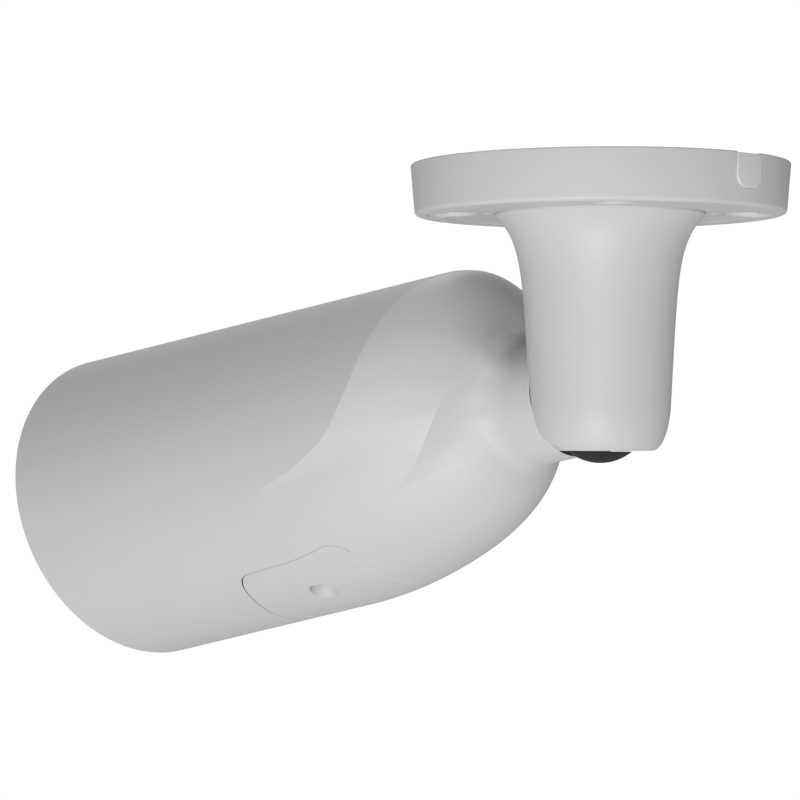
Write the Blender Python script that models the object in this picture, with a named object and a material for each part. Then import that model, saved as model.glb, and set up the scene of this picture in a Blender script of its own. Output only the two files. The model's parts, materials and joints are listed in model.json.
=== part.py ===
"""Ceiling-mounted bullet security camera: flange, hollow arm, ball joint and a tapered camera body.

Metres, +Z up. The origin is the centre of the flange's ceiling face and the camera looks towards -Y,
TILT_AT_REST below the horizontal. Pieces of the camera body are drawn in the body's own frame, which has its
origin at the centre of the ball: forward is -Y, up is +Z, and a "station" is a distance forward of the ball.
"""

import math

import bmesh
import bpy
from mathutils import Matrix, Vector

GAP = 0.0003  # left between pieces that touch
RUN = 0.0005  # left between pieces that move past each other
REACH = 0.002  # how far a cutter runs past the face it cuts
FINE, MEDIUM, COARSE = 48, 24, 12  # sides of large, middling and small round pieces

# Ceiling flange
FLANGE_R = 0.0550
FLANGE_DRAFT = 0.0011  # how much narrower its foot is
FLANGE_HEIGHT = 0.0147
FLANGE_EDGE = 0.0010
FLANGE_FLOOR = 0.0045
MOUNT_HOLE_CIRCLE_R = 0.0430
MOUNT_HOLE_R = 0.00275
MOUNT_RECESS_R = 0.00765
MOUNT_RECESS_DEPTH = 0.0011
UNDERSIDE_STEP_R = 0.0455
UNDERSIDE_STEP = 0.0006
SEAL_MARGIN = 0.0030  # from the flange's edge to the groove
SEAL_WIDTH = 0.0040
SEAL_GROOVE_DEPTH = 0.0018
PLUG_WIDTH = 0.0106
PLUG_DEPTH = 0.0100
PLUG_CORNER = 0.0040
PLUG_LENGTH = 0.0060
PLUG_PROUD = 0.0004

# Pan bearing
COLLAR_WIDTH = 0.0040
COLLAR_HEIGHT = 0.0032
RING_WIDTH = 0.0062
RING_HEIGHT = 0.0025
RING_SEAT = 0.0045
RING_SCREWS = 3
RING_SCREW_R = 0.0012
RING_SCREW_HEAD_R = 0.0021
RING_SCREW_HEAD = 0.0013
RING_SCREW_LENGTH = 0.0080
PAN_SCREW_CIRCLE_R = 0.0330
PAN_SCREW_R = 0.0015

# Arm
ARM_LENGTH = 0.0682  # below the flange
ARM_ROOT_R = 0.0305
ARM_SHANK_R = 0.0234
ARM_SHANK_TAPER = 0.0533
ARM_FLARE_LENGTH = 0.0070
ARM_CORNER = (0.0046, 0.0130)  # width and height of the rounded lower corner
ARM_BORE_R = 0.0150
ARM_BORE_CORNER = 0.0030
ARM_PLATE = 0.0032
ARM_TONGUE_R = 0.0096
ARM_SIDES = 40
STEM_SLOT_HALF = 0.0065

# Ball joint
BALL_Z = -0.0658
BALL_R = 0.0110
STEM_R = 0.0050
WIRE_BORE_R = 0.0028
SHOULDER_R = 0.0095
SHOULDER = (0.0216, 0.0248)
STUD_END = 0.0600
NUT_R = 0.0100
NUT_LENGTH = 0.0050
SEAT_HOLE_R = 0.0055
SEAT_LOW = 0.0073  # heights above the ball's centre
SEAT_HIGH = 0.0140
SEAT_CHAMFER = 0.0030
PAD_R = 0.0035
LOCK_SCREW_R = 0.0030
LOCK_HEAD_R = 0.0045
LOCK_HEAD = 0.0016
LOCK_HEXAGON_R = 0.0018
GROMMET_BORE_R = 0.0085
GROMMET_LIP = 0.0020
CAP_R = 0.0092
CAP_HEIGHT = 0.0033
CAP_WALL = 0.0011
TILT_AT_REST = math.radians(10)

# Camera body
BODY_LENGTH = 0.2120
FRONT_R = 0.0516
BODY_DRAFT = math.radians(1.95)
FRONT_RAKE = 0.1103  # forward run of the front edge for each metre of height
BODY_WALL = 0.0046
SHELL_EDGE = 0.0006
TAIL_R = 0.0172
TAIL_CLEAR_R = 0.0212  # sphere about the ball that the tail's end stays outside
COLUMNS = 48
CAVITY_START = 0.0480
CAVITY_SHOULDER = 0.1120
CAVITY_MOUTH_R = 0.0160
CAVITY_STATIONS = (0.0800, 0.0600, CAVITY_START)  # where its inside is drawn behind the shoulder
SEAT_RIB_BACK = (0.0270, 0.0215)  # behind the body's front end
SEAT_RIB_R = 0.0395
SEAT_RIB_RAMP = 0.0030

# Lines of the shell's rear at angles round it from the top, in degrees:
# front crease station, slope behind it, rear crease station and radius, slopes before and behind it,
# station of the tail's root and slope there. Slopes are degrees off the axis.
REAR_LINES = {
    0: (0.0450, 6, 0.0280, 0.0240, 75, 85, 0.0260, 60),
    45: (0.0510, 18, 0.0270, 0.0255, 60, 82, 0.0258, 45),
    70: (0.0567, 22, 0.0305, 0.0285, 46, 80, 0.0270, 40),
    90: (0.0675, 18, 0.0365, 0.0315, 36, 76, 0.0290, 38),
    100: (0.0830, 11, 0.0405, 0.0330, 32, 68, 0.0295, 38),
    110: (0.1080, 2, 0.0440, 0.0352, 28, 58, 0.0300, 40),
    126: (0.1100, 2, 0.0620, 0.0396, 20, 24, 0.0305, 50),
    180: (0.1100, 2, 0.0630, 0.0393, 18, 18, 0.0310, 56),
}
ROOT_R = 0.0195
ROOT_FILLET = 0.0040

# Access door under the body
DOOR_HALF_WIDTH = 0.0335
DOOR_REAR = 0.0810
DOOR_FRONT = 0.1310
DOOR_BOW = 0.0050
DOOR_CORNER = 0.0080
DOOR_WALL = 0.0022
DOOR_OPENING = ((-0.0135, 0.0135), (0.0890, 0.1240))
DOOR_SCREW = (0.0200, 0.1046)
DOOR_SCREW_R = 0.0015
DOOR_SCREW_HEAD_R = 0.0036
DOOR_SCREW_HEAD = 0.0016
DOOR_RECESS_R = 0.0043
DOOR_RECESS_DEPTH = 0.0022
DOOR_SCREW_LENGTH = 0.0110
DOOR_BOSS_R = 0.0062
DOOR_BOSS_SINK = 0.0002
DOOR_BOSS_FLOOR = 0.0016
DOOR_CUT = (-0.0600, -0.0200)  # heights that the door's cutters span
POST_R = 0.0085

# Front of the body
BEZEL_SINK = 0.0110
BEZEL_LIP = 0.0040
BEZEL_LIP_R = 0.0385
BEZEL_SCREWS = 3
BEZEL_SCREW_CIRCLE_R = 0.0438
BEZEL_SCREW_R = 0.0011
BEZEL_SCREW_HEAD_R = 0.0019
BEZEL_SCREW_HEAD = 0.0016
WINDOW_R = 0.0412
WINDOW_THICK = 0.0030
WINDOW_SEAL_R = 0.0380
WINDOW_SEAL_THICK = 0.0020

# Optics and lighting; each place is a distance behind the body's front end, rear first
LED_BOARD_BACK = (0.0310, 0.0294)
LED_BOARD_R = 0.0385
LED_BOARD_BORE_R = 0.0190
LED_COUNT = 6
LED_CIRCLE_R = 0.0285
LED_R = 0.0042
LED_HEIGHT = 0.0036
LED_SHOULDERS = ((1.0, 0.45), (0.7, 0.85))  # shares of its radius and height
BARREL_R = 0.0120
BARREL_BORE_R = 0.0098
BARREL_BACK = (0.0727, 0.0280)
LENS_R = 0.0094
FRONT_LENS_BACK = (0.0350, 0.0295)
REAR_LENS_BACK = (0.0660, 0.0630)
LENS_BULGE = 0.0012
LENS_CURVE = 0.6  # share of its radius and of its bulge where the curve is drawn
FOCUS_RING_BACK = (0.0440, 0.0360)
ZOOM_RING_BACK = (0.0600, 0.0520)
LENS_RING_R = 0.0155
RING_KNOB_R = 0.0014
RING_KNOB_HEIGHT = 0.0040
RING_KNOB_ROOT = 0.0010
BAFFLE_R = (0.0132, 0.0165)
BAFFLE_BACK = 0.0275
LENS_MOUNT_HALF = 0.0150
LENS_MOUNT_BACK = (0.0848, 0.0730)
LENS_MOUNT_BORE_R = 0.0080
FILTER_SLOT_BACK = (0.0798, 0.0778)
FILTER_HALF = (0.0115, 0.0085)
FILTER_SLOT_HALF = 0.0090
SENSOR_BOARD_BACK = (0.0871, 0.0855)
SENSOR_BOARD_HALF = 0.0190
SENSOR_HALF = (0.0055, 0.0045)
SENSOR_THICK = 0.0018

# Chassis and electronics
CHASSIS_R = 0.0390
CHASSIS_DISC_BACK = (0.0915, 0.0892)
CHASSIS_PLATE_HALF = 0.0300
CHASSIS_PLATE_REAR = 0.0700
CHASSIS_PLATE_Z = (-0.0020, 0.0000)
CHASSIS_POST_R = 0.0028
CHASSIS_POST_CIRCLE_R = 0.0345
MAIN_BOARD_HALF = 0.0270
MAIN_BOARD = (0.0780, 0.1180)
MAIN_BOARD_Z = 0.0160
POWER_BOARD_HALF = 0.0240
POWER_BOARD = (0.0760, 0.1185)
POWER_BOARD_Z = -0.0200
BOARD_THICK = 0.0016
HEAT_SINK = (0.0860, 0.1120)
HEAT_SINK_HALF = 0.0130
HEAT_SINK_BASE = 0.0025
HEAT_SINK_FIN = 0.0100
HEAT_SINK_FINS = 6
SOCKET_HALF = 0.0080
SOCKET_LENGTH = 0.0180
SOCKET_HEIGHT = 0.0118
SOCKET_HOLE_HALF = 0.0060
SOCKET_HOLE_DEPTH = 0.0120
SOCKET_HOLE_HEIGHT = 0.0080
CARD_SLOT_X = (-0.0115, 0.0025)
CARD_SLOT = (0.0895, 0.1045)
CARD_SLOT_THICK = 0.0024
CARD_X = (-0.0100, 0.0010)
CARD_LENGTH = 0.0150
CARD_THICK = 0.0008
CARD_OUT = 0.0030
SWITCH_X = 0.0080
SWITCH_STATION = 0.1060
SWITCH_HALF = 0.0030
SWITCH_HEIGHT = 0.0035
BUTTON_R = 0.0016
BUTTON_TRAVEL = 0.0006
BUTTON_OUT = 0.0020
BUTTON_ROOF = 0.0010


def from_front(back):
    return tuple(BODY_LENGTH - distance for distance in back)


SEAT_RIB = from_front(SEAT_RIB_BACK)
BEZEL_FRONT = BODY_LENGTH - BEZEL_SINK
LED_BOARD = from_front(LED_BOARD_BACK)
BARREL = from_front(BARREL_BACK)
FRONT_LENS = from_front(FRONT_LENS_BACK)
REAR_LENS = from_front(REAR_LENS_BACK)
FOCUS_RING = from_front(FOCUS_RING_BACK)
ZOOM_RING = from_front(ZOOM_RING_BACK)
BAFFLE_START = BODY_LENGTH - BAFFLE_BACK
LENS_MOUNT = from_front(LENS_MOUNT_BACK)
FILTER_SLOT = from_front(FILTER_SLOT_BACK)
SENSOR_BOARD = from_front(SENSOR_BOARD_BACK)
CHASSIS_DISC = from_front(CHASSIS_DISC_BACK)
FLANGE_FOOT_R = FLANGE_R - FLANGE_DRAFT
SEAL_GROOVE_R = (FLANGE_R - SEAL_MARGIN - SEAL_WIDTH, FLANGE_R - SEAL_MARGIN)
FLANGE_TOP = 0.0
FLANGE_BOTTOM = FLANGE_TOP - FLANGE_HEIGHT
FLOOR_TOP = FLANGE_BOTTOM + FLANGE_FLOOR
COLLAR_R = ARM_ROOT_R + COLLAR_WIDTH
COLLAR_BOTTOM = FLOOR_TOP + GAP
COLLAR_TOP = COLLAR_BOTTOM + COLLAR_HEIGHT
RING_BOTTOM = COLLAR_TOP + GAP
RING_TOP = RING_BOTTOM + RING_HEIGHT
RING_SEAT_R = COLLAR_R + GAP
FLANGE_BORE_R = RING_SEAT_R + RING_SEAT
RING_SCREW_CIRCLE_R = (RING_SEAT_R + FLANGE_BORE_R) / 2
ARM_BOTTOM = FLANGE_BOTTOM - ARM_LENGTH
PLATE_TOP = ARM_BOTTOM + ARM_PLATE
CAP_TOP = ARM_BOTTOM - GAP
SOCKET_R = BALL_R + GAP
TAIL_RECESS_HALF = TAIL_R + RUN
TAIL_SEAT_R = TAIL_CLEAR_R - RUN  # convex sphere of the arm that the tail's end slides round
BODY_BORE_R = STEM_R + GAP
BEZEL_REAR = SEAT_RIB[1] + GAP
SEAL_REAR = SEAT_RIB[1] + GAP
WINDOW_REAR = SEAL_REAR + WINDOW_SEAL_THICK + GAP
WINDOW_FRONT = WINDOW_REAR + WINDOW_THICK

WHITE = ("painted_shell", (0.66, 0.66, 0.66), 0.55, 0.0)
GREY_PLASTIC = ("grey_plastic", (0.72, 0.72, 0.71), 0.45, 0.0)
BLACK_PLASTIC = ("black_plastic", (0.02, 0.02, 0.022), 0.5, 0.0)
RUBBER = ("rubber", (0.03, 0.03, 0.03), 0.8, 0.0)
NYLON = ("nylon", (0.75, 0.74, 0.70), 0.5, 0.0)
STEEL = ("steel", (0.55, 0.55, 0.56), 0.35, 1.0)
ALUMINIUM = ("aluminium", (0.68, 0.69, 0.70), 0.4, 1.0)
GLASS = ("glass", (0.8, 0.85, 0.88), 0.05, 0.0)
BOARD = ("circuit_board", (0.02, 0.14, 0.07), 0.5, 0.0)
CHIP = ("chip", (0.06, 0.07, 0.09), 0.4, 0.0)
LAMP = ("led_lens", (0.85, 0.85, 0.8), 0.2, 0.0)


def clear_scene():
    for obj in list(bpy.data.objects):
        bpy.data.objects.remove(obj, do_unlink=True)


def material(finish):
    """The Principled material of one finish, made once."""
    name, color, roughness, metallic = finish
    found = bpy.data.materials.get(name)
    if found:
        return found
    made = bpy.data.materials.new(name)
    made.use_nodes = True
    shader = made.node_tree.nodes["Principled BSDF"]
    shader.inputs["Base Color"].default_value = (*color, 1.0)
    shader.inputs["Roughness"].default_value = roughness
    shader.inputs["Metallic"].default_value = metallic
    return made


def axis_empty(name, location=(0, 0, 0), tilt=0.0, parent=None):
    empty = bpy.data.objects.new(name, None)
    empty.location = location
    empty.rotation_euler = (tilt, 0, 0)
    empty.parent = parent
    bpy.context.scene.collection.objects.link(empty)
    return empty


def add_object(name, bm, finish=None, parent=None, at=(0, 0, 0)):
    """Links the bmesh as an object. With no finish it is a cutter, which isn't rendered."""
    bmesh.ops.remove_doubles(bm, verts=bm.verts, dist=1e-7)
    bmesh.ops.recalc_face_normals(bm, faces=bm.faces)
    mesh = bpy.data.meshes.new(name)
    bm.to_mesh(mesh)
    bm.free()
    obj = bpy.data.objects.new(name, mesh)
    bpy.context.scene.collection.objects.link(obj)
    obj.parent = parent
    obj.location = at
    if finish:
        mesh.materials.append(material(finish))
        mesh.shade_smooth()
        mesh.set_sharp_from_angle(angle=math.radians(35))
    else:
        obj.hide_render = True
        obj.display_type = "WIRE"
    return obj


def combine(obj, other, operation):
    modifier = obj.modifiers.new(operation.lower(), "BOOLEAN")
    modifier.operation = operation
    modifier.object = other
    modifier.solver = "EXACT"


def turned(profile, steps=FINE):
    """A solid turned about Z from (radius, height) points, its ends joined unless both lie on the axis."""
    bm = bmesh.new()
    verts = [bm.verts.new((radius, 0, height)) for radius, height in profile]
    edges = [bm.edges.new(pair) for pair in zip(verts, verts[1:])]
    if profile[0][0] > 0 or profile[-1][0] > 0:
        edges.append(bm.edges.new((verts[-1], verts[0])))
    bmesh.ops.spin(bm, geom=verts + edges, cent=(0, 0, 0), axis=(0, 0, 1),
                   angle=2 * math.pi, steps=steps, use_merge=True)
    bmesh.ops.remove_doubles(bm, verts=bm.verts, dist=1e-7)
    return bm


def forward(bm):
    """Lays a solid drawn up Z along the body, so that its +Z points forward and its +Y up."""
    bm.transform(Matrix.Rotation(math.pi / 2, 4, "X"))
    return bm


def shift(bm, offset):
    bm.transform(Matrix.Translation(offset))
    return bm


def joined(parts):
    """Several bmeshes as one, their bodies kept apart."""
    whole = bmesh.new()
    for bm in parts:
        mesh = bpy.data.meshes.new("joined_part")
        bm.to_mesh(mesh)
        bm.free()
        whole.from_mesh(mesh)
        bpy.data.meshes.remove(mesh)
    return whole


def box(x, y, z):
    """A block from its (low, high) limits along each axis."""
    bm = bmesh.new()
    bmesh.ops.create_cube(bm, size=1)
    sides = [high - low for low, high in (x, y, z)]
    middle = [(high + low) / 2 for low, high in (x, y, z)]
    bm.transform(Matrix.Translation(middle) @ Matrix.Diagonal((*sides, 1)))
    return bm


def body_box(x, stations, z):
    """A block in the body's frame, its length given as stations."""
    return box(x, (-stations[1], -stations[0]), z)


def rod(radius, low, high, steps=MEDIUM):
    return turned([(0, low), (radius, low), (radius, high), (0, high)], steps)


def ring(inner, outer, low, high, steps=FINE):
    return turned([(inner, low), (outer, low), (outer, high), (inner, high)], steps)


def extruded(points, run):
    """A prism from the corners of one face, pulled along run."""
    bm = bmesh.new()
    face = bm.faces.new([bm.verts.new(point) for point in points])
    made = bmesh.ops.extrude_face_region(bm, geom=[face])
    moved = [item for item in made["geom"] if isinstance(item, bmesh.types.BMVert)]
    bmesh.ops.translate(bm, verts=moved, vec=run)
    return bm


def on_circle(radius, degrees):
    return (radius * math.cos(math.radians(degrees)), radius * math.sin(math.radians(degrees)))


def arc(radius, first, last, steps, centre=(0, 0)):
    """Points of an arc from first to last degrees."""
    turns = [first + (last - first) * i / steps for i in range(steps + 1)]
    return [(centre[0] + x, centre[1] + y) for x, y in (on_circle(radius, turn) for turn in turns)]


# ---- Ceiling flange and pan bearing


def mounting_flange():
    bottom = FLANGE_BOTTOM
    step_top = bottom + UNDERSIDE_STEP
    profile = [
        (RING_SEAT_R, RING_BOTTOM), (FLANGE_BORE_R, RING_BOTTOM), (FLANGE_BORE_R, FLANGE_TOP),
        (SEAL_GROOVE_R[0], FLANGE_TOP), (SEAL_GROOVE_R[0], FLANGE_TOP - SEAL_GROOVE_DEPTH),
        (SEAL_GROOVE_R[1], FLANGE_TOP - SEAL_GROOVE_DEPTH), (SEAL_GROOVE_R[1], FLANGE_TOP),
        (FLANGE_R - FLANGE_EDGE / 2, FLANGE_TOP), (FLANGE_R, FLANGE_TOP - FLANGE_EDGE / 2),
    ]
    profile += arc(FLANGE_EDGE, 0, -90, 2, (FLANGE_FOOT_R - FLANGE_EDGE, bottom + FLANGE_EDGE))
    profile += [
        (UNDERSIDE_STEP_R, bottom), (UNDERSIDE_STEP_R, step_top),
        (ARM_ROOT_R + GAP, step_top), (ARM_ROOT_R + GAP, FLOOR_TOP), (RING_SEAT_R, FLOOR_TOP),
    ]
    flange = add_object("mounting_flange", turned(profile), WHITE)
    cutters = []
    for degrees in (45, 135, 225, 315):
        x, y = on_circle(MOUNT_HOLE_CIRCLE_R, degrees)
        stepped = turned([
            (0, FLANGE_TOP + REACH), (MOUNT_HOLE_R, FLANGE_TOP + REACH),
            (MOUNT_HOLE_R, step_top + MOUNT_RECESS_DEPTH), (MOUNT_RECESS_R, step_top + MOUNT_RECESS_DEPTH),
            (MOUNT_RECESS_R, bottom - REACH), (0, bottom - REACH),
        ], COARSE)
        cutters.append(shift(stepped, (x, y, 0)))
    for degrees in (-45, 135):
        x, y = on_circle(PAN_SCREW_CIRCLE_R, degrees)
        cutters.append(shift(rod(PAN_SCREW_R + GAP, bottom - REACH, FLOOR_TOP + REACH, COARSE), (x, y, 0)))
    for degrees in ring_screw_angles():
        x, y = on_circle(RING_SCREW_CIRCLE_R, degrees)
        depth = RING_TOP - RING_SCREW_LENGTH - GAP
        cutters.append(shift(rod(RING_SCREW_R + GAP, depth, RING_BOTTOM + REACH, 8), (x, y, 0)))
    combine(flange, add_object("flange_holes_cutter", joined(cutters)), "DIFFERENCE")
    notch = conduit_shape(FLANGE_TOP + REACH, GAP)
    combine(flange, add_object("flange_notch_cutter", notch), "DIFFERENCE")


def ring_screw_angles():
    return [90 + 360 * i / RING_SCREWS for i in range(RING_SCREWS)]


def conduit_shape(top, clearance):
    """The U-shaped side entry in the flange's rim, at +Y. Without clearance it is the plug that fills it."""
    half, corner = PLUG_WIDTH / 2 + clearance, PLUG_CORNER
    centre_z = FLANGE_TOP - PLUG_DEPTH - clearance + corner
    outline = [(-half, top)] + arc(corner, 180, 270, 3, (corner - half, centre_z))
    outline += arc(corner, 270, 360, 3, (half - corner, centre_z)) + [(half, top)]
    inner_y = FLANGE_R - PLUG_LENGTH - clearance
    outer_y = FLANGE_R + (REACH if clearance else PLUG_PROUD)
    return extruded([(x, inner_y, z) for x, z in outline], (0, outer_y - inner_y, 0))


def flange_fittings():
    add_object("conduit_plug", conduit_shape(FLANGE_TOP - GAP, 0), GREY_PLASTIC)
    # The seal stays inside the plug's inner end, so it is one unbroken ring.
    inner, outer = SEAL_GROOVE_R
    seal_outer = min(outer, FLANGE_R - PLUG_LENGTH - GAP) - GAP
    seal_bottom = FLANGE_TOP - SEAL_GROOVE_DEPTH + GAP
    add_object("ceiling_seal", ring(inner + GAP, seal_outer, seal_bottom, FLANGE_TOP), RUBBER)
    holder = add_object(
        "pan_retaining_ring",
        ring(FLANGE_BORE_R - GAP - RING_WIDTH, FLANGE_BORE_R - GAP, RING_BOTTOM + GAP, RING_TOP), ALUMINIUM)
    holes = []
    for number, degrees in enumerate(ring_screw_angles(), 1):
        x, y = on_circle(RING_SCREW_CIRCLE_R, degrees)
        holes.append(shift(rod(RING_SCREW_R + GAP, RING_BOTTOM - REACH, RING_TOP + REACH, 8), (x, y, 0)))
        screw = turned([
            (0, RING_TOP - RING_SCREW_LENGTH), (RING_SCREW_R, RING_TOP - RING_SCREW_LENGTH),
            (RING_SCREW_R, RING_TOP + GAP), (RING_SCREW_HEAD_R, RING_TOP + GAP),
            (RING_SCREW_HEAD_R, RING_TOP + GAP + RING_SCREW_HEAD), (0, RING_TOP + GAP + RING_SCREW_HEAD),
        ], 8)
        add_object(f"ring_screw_{number}", screw, STEEL, at=(x, y, 0))
    combine(holder, add_object("ring_holes_cutter", joined(holes)), "DIFFERENCE")
    for number, degrees in enumerate((-45, 135), 1):
        x, y = on_circle(PAN_SCREW_CIRCLE_R, degrees)
        screw = rod(PAN_SCREW_R, FLANGE_BOTTOM + UNDERSIDE_STEP + GAP, FLOOR_TOP, COARSE)
        add_object(f"pan_set_screw_{number}", screw, STEEL, at=(x, y, 0))


# ---- Arm and ball joint


def arm_radius(depth):
    """Outside radius at a depth below the flange: a tapered shank, flared above and rounded below."""
    shank = ARM_SHANK_R - ARM_SHANK_TAPER * depth
    flare = (ARM_ROOT_R - ARM_SHANK_R) * math.exp(-depth / ARM_FLARE_LENGTH)
    width, height = ARM_CORNER
    into_corner = max(0.0, depth - (ARM_LENGTH - height)) / height
    return shank + flare - width * (1 - math.sqrt(max(0.0, 1 - into_corner ** 2)))


def neck_arm(pan):
    shares = (0, 0.03, 0.08, 0.15, 0.25, 0.45, 0.81, 0.88, 0.94, 0.98, 1)
    profile = [(ARM_BORE_R, COLLAR_TOP), (COLLAR_R, COLLAR_TOP), (COLLAR_R, COLLAR_BOTTOM),
               (ARM_ROOT_R, COLLAR_BOTTOM)]
    profile += [(arm_radius(ARM_LENGTH * share), FLANGE_BOTTOM - ARM_LENGTH * share) for share in shares]
    profile += [
        (LOCK_SCREW_R + GAP, ARM_BOTTOM), (LOCK_SCREW_R + GAP, PLATE_TOP),
        (ARM_BORE_R - ARM_BORE_CORNER, PLATE_TOP), (ARM_BORE_R, PLATE_TOP + 2 * ARM_BORE_CORNER),
    ]
    arm = add_object("neck_arm", turned(profile, ARM_SIDES), WHITE, pan)
    # In front of a sphere about the ball, the arm makes room for the tail, which slides round that sphere.
    recess = add_object("tail_recess_cutter", arch_prism(TAIL_RECESS_HALF), parent=pan)
    sphere = [(x, BALL_Z + z) for x, z in arc(TAIL_SEAT_R, -90, 90, FINE // 2)]
    sphere[0], sphere[-1] = (0, BALL_Z - TAIL_SEAT_R), (0, BALL_Z + TAIL_SEAT_R)
    combine(recess, add_object("tail_seat_cutter", turned(sphere), parent=pan), "DIFFERENCE")
    combine(arm, recess, "DIFFERENCE")
    # The stem swings in a slot that the tail always covers. A tongue of the plate stays under the ball.
    slot = add_object("stem_slot_cutter", arch_prism(STEM_SLOT_HALF), parent=pan)
    tongue = rod(ARM_TONGUE_R, ARM_BOTTOM - 2 * REACH, PLATE_TOP + GAP)
    combine(slot, add_object("tongue_cutter", tongue, parent=pan), "DIFFERENCE")
    combine(arm, slot, "DIFFERENCE")


def arch_prism(half):
    """From behind the ball out past the arm's front: an arch over the ball, open downwards."""
    outline = [(half, ARM_BOTTOM - REACH)] + arc(half, 0, 180, 12, (0, BALL_Z))
    outline.append((-half, ARM_BOTTOM - REACH))
    return extruded([(x, RUN, z) for x, z in outline], (0, -ARM_ROOT_R, 0))


def joint_pieces(pan):
    edge_z, top_z = BALL_Z + SEAT_LOW, BALL_Z + SEAT_HIGH
    wide = ARM_BORE_R - 2 * GAP
    first = math.degrees(math.asin(SEAT_LOW / SOCKET_R))
    last = math.degrees(math.acos(SEAT_HOLE_R / SOCKET_R))
    seat = [(SEAT_HOLE_R, top_z), (wide - SEAT_CHAMFER, top_z), (wide, top_z - SEAT_CHAMFER), (wide, edge_z)]
    seat += arc(SOCKET_R, first, last, 3, (0, BALL_Z))
    add_object("ball_seat", turned(seat, 32), NYLON, pan)
    rim = math.degrees(math.acos(PAD_R / SOCKET_R))
    pad_bottom = PLATE_TOP + GAP
    pad = [(0, pad_bottom), (PAD_R, pad_bottom)] + arc(SOCKET_R, -rim, -90, 3, (0, BALL_Z))
    pad[-1] = (0, BALL_Z - SOCKET_R)
    add_object("friction_pad", turned(pad, COARSE), NYLON, pan)
    grommet_half = (COLLAR_TOP - COLLAR_BOTTOM) / 2
    grommet = [
        (GROMMET_BORE_R, COLLAR_BOTTOM), (ARM_BORE_R - GAP, COLLAR_BOTTOM),
        (ARM_BORE_R - GAP, COLLAR_TOP + GAP), (ARM_BORE_R + GROMMET_LIP, COLLAR_TOP + GAP),
        (ARM_BORE_R + GROMMET_LIP, COLLAR_TOP + grommet_half),
        (GROMMET_BORE_R, COLLAR_TOP + grommet_half),
    ]
    add_object("cable_grommet", turned(grommet, MEDIUM), RUBBER, pan)
    head_top = ARM_BOTTOM - GAP
    screw = [
        (0, head_top - LOCK_HEAD), (LOCK_HEAD_R, head_top - LOCK_HEAD), (LOCK_HEAD_R, head_top),
        (LOCK_SCREW_R, head_top), (LOCK_SCREW_R, PLATE_TOP), (0, PLATE_TOP),
    ]
    lock_screw = add_object("lock_screw", turned(screw, COARSE), STEEL, pan)
    hexagon = rod(LOCK_HEXAGON_R, head_top - LOCK_HEAD - REACH, head_top, 6)
    combine(lock_screw, add_object("lock_hexagon_cutter", hexagon, parent=pan), "DIFFERENCE")
    curve = (CAP_R ** 2 + CAP_HEIGHT ** 2) / (2 * CAP_HEIGHT)
    sweep = math.degrees(math.asin(CAP_R / curve))
    dome = arc(curve, -90, -90 + sweep, 4, (0, CAP_TOP - CAP_HEIGHT + curve))
    dome[0] = (0, CAP_TOP - CAP_HEIGHT)
    pocket = LOCK_HEAD_R + GAP
    pocket_bottom = head_top - LOCK_HEAD - GAP
    cap = dome + [(pocket, CAP_TOP), (pocket, pocket_bottom), (0, pocket_bottom)]
    add_object("lock_screw_cap", turned(cap, MEDIUM), RUBBER, pan)


def ball_stud(tilt):
    reach = math.degrees(math.asin(STEM_R / BALL_R))
    profile = arc(BALL_R, -90, 90 - reach, 9)
    profile[0] = (0, -BALL_R)
    profile += [
        (STEM_R, SHOULDER[0]), (SHOULDER_R, SHOULDER[0]), (SHOULDER_R, SHOULDER[1]),
        (STEM_R, SHOULDER[1]), (STEM_R, STUD_END), (0, STUD_END),
    ]
    stud = add_object("ball_stud", forward(turned(profile, MEDIUM)), STEEL, tilt)
    wires = forward(rod(WIRE_BORE_R, 0, STUD_END + REACH, COARSE))
    branch = rod(WIRE_BORE_R, -WIRE_BORE_R, BALL_R + REACH, COARSE)
    combine(stud, add_object("wire_bore_cutter", wires, parent=tilt), "DIFFERENCE")
    combine(stud, add_object("wire_branch_cutter", branch, parent=tilt), "DIFFERENCE")


# ---- Shell of the camera body


def cone_radius(station):
    return FRONT_R - (BODY_LENGTH - station) * math.tan(BODY_DRAFT)


def rear_lines(degrees):
    """REAR_LINES at any angle, by monotone cubic curves through the given ones."""
    angles = sorted(REAR_LINES)
    degrees = min(max(degrees, 0), 180)
    upper = next(i for i, angle in enumerate(angles) if angle >= degrees)
    i = max(upper - 1, 0)
    span = angles[i + 1] - angles[i]
    t = (degrees - angles[i]) / span
    result = []
    for column in zip(*(REAR_LINES[angle] for angle in angles)):
        rises = [(b - a) / (angles[k + 1] - angles[k]) for k, (a, b) in enumerate(zip(column, column[1:]))]
        slopes = []
        for k in (i, i + 1):
            before = rises[k - 1] if k else 0.0
            after = rises[k] if k < len(rises) else 0.0
            slopes.append(0.0 if before * after <= 0 else 2 * before * after / (before + after))
        low, high = column[i], column[i + 1]
        result.append(
            (2 * t ** 3 - 3 * t ** 2 + 1) * low + (t ** 3 - 2 * t ** 2 + t) * span * slopes[0]
            + (3 * t ** 2 - 2 * t ** 3) * high + (t ** 3 - t ** 2) * span * slopes[1])
    return result


def sweep_between(start, start_slope, end, end_slope, t):
    """A point of the curve from start to end, leaving and arriving at slopes in degrees off the axis."""
    length = math.dist(start, end) / 3
    leave = (start[0] - length * math.cos(math.radians(start_slope)),
             start[1] - length * math.sin(math.radians(start_slope)))
    arrive = (end[0] + length * math.cos(math.radians(end_slope)),
              end[1] + length * math.sin(math.radians(end_slope)))
    weights = ((1 - t) ** 3, 3 * t * (1 - t) ** 2, 3 * t ** 2 * (1 - t), t ** 3)
    points = (start, leave, arrive, end)
    return tuple(sum(w * p[axis] for w, p in zip(weights, points)) for axis in (0, 1))


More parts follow.
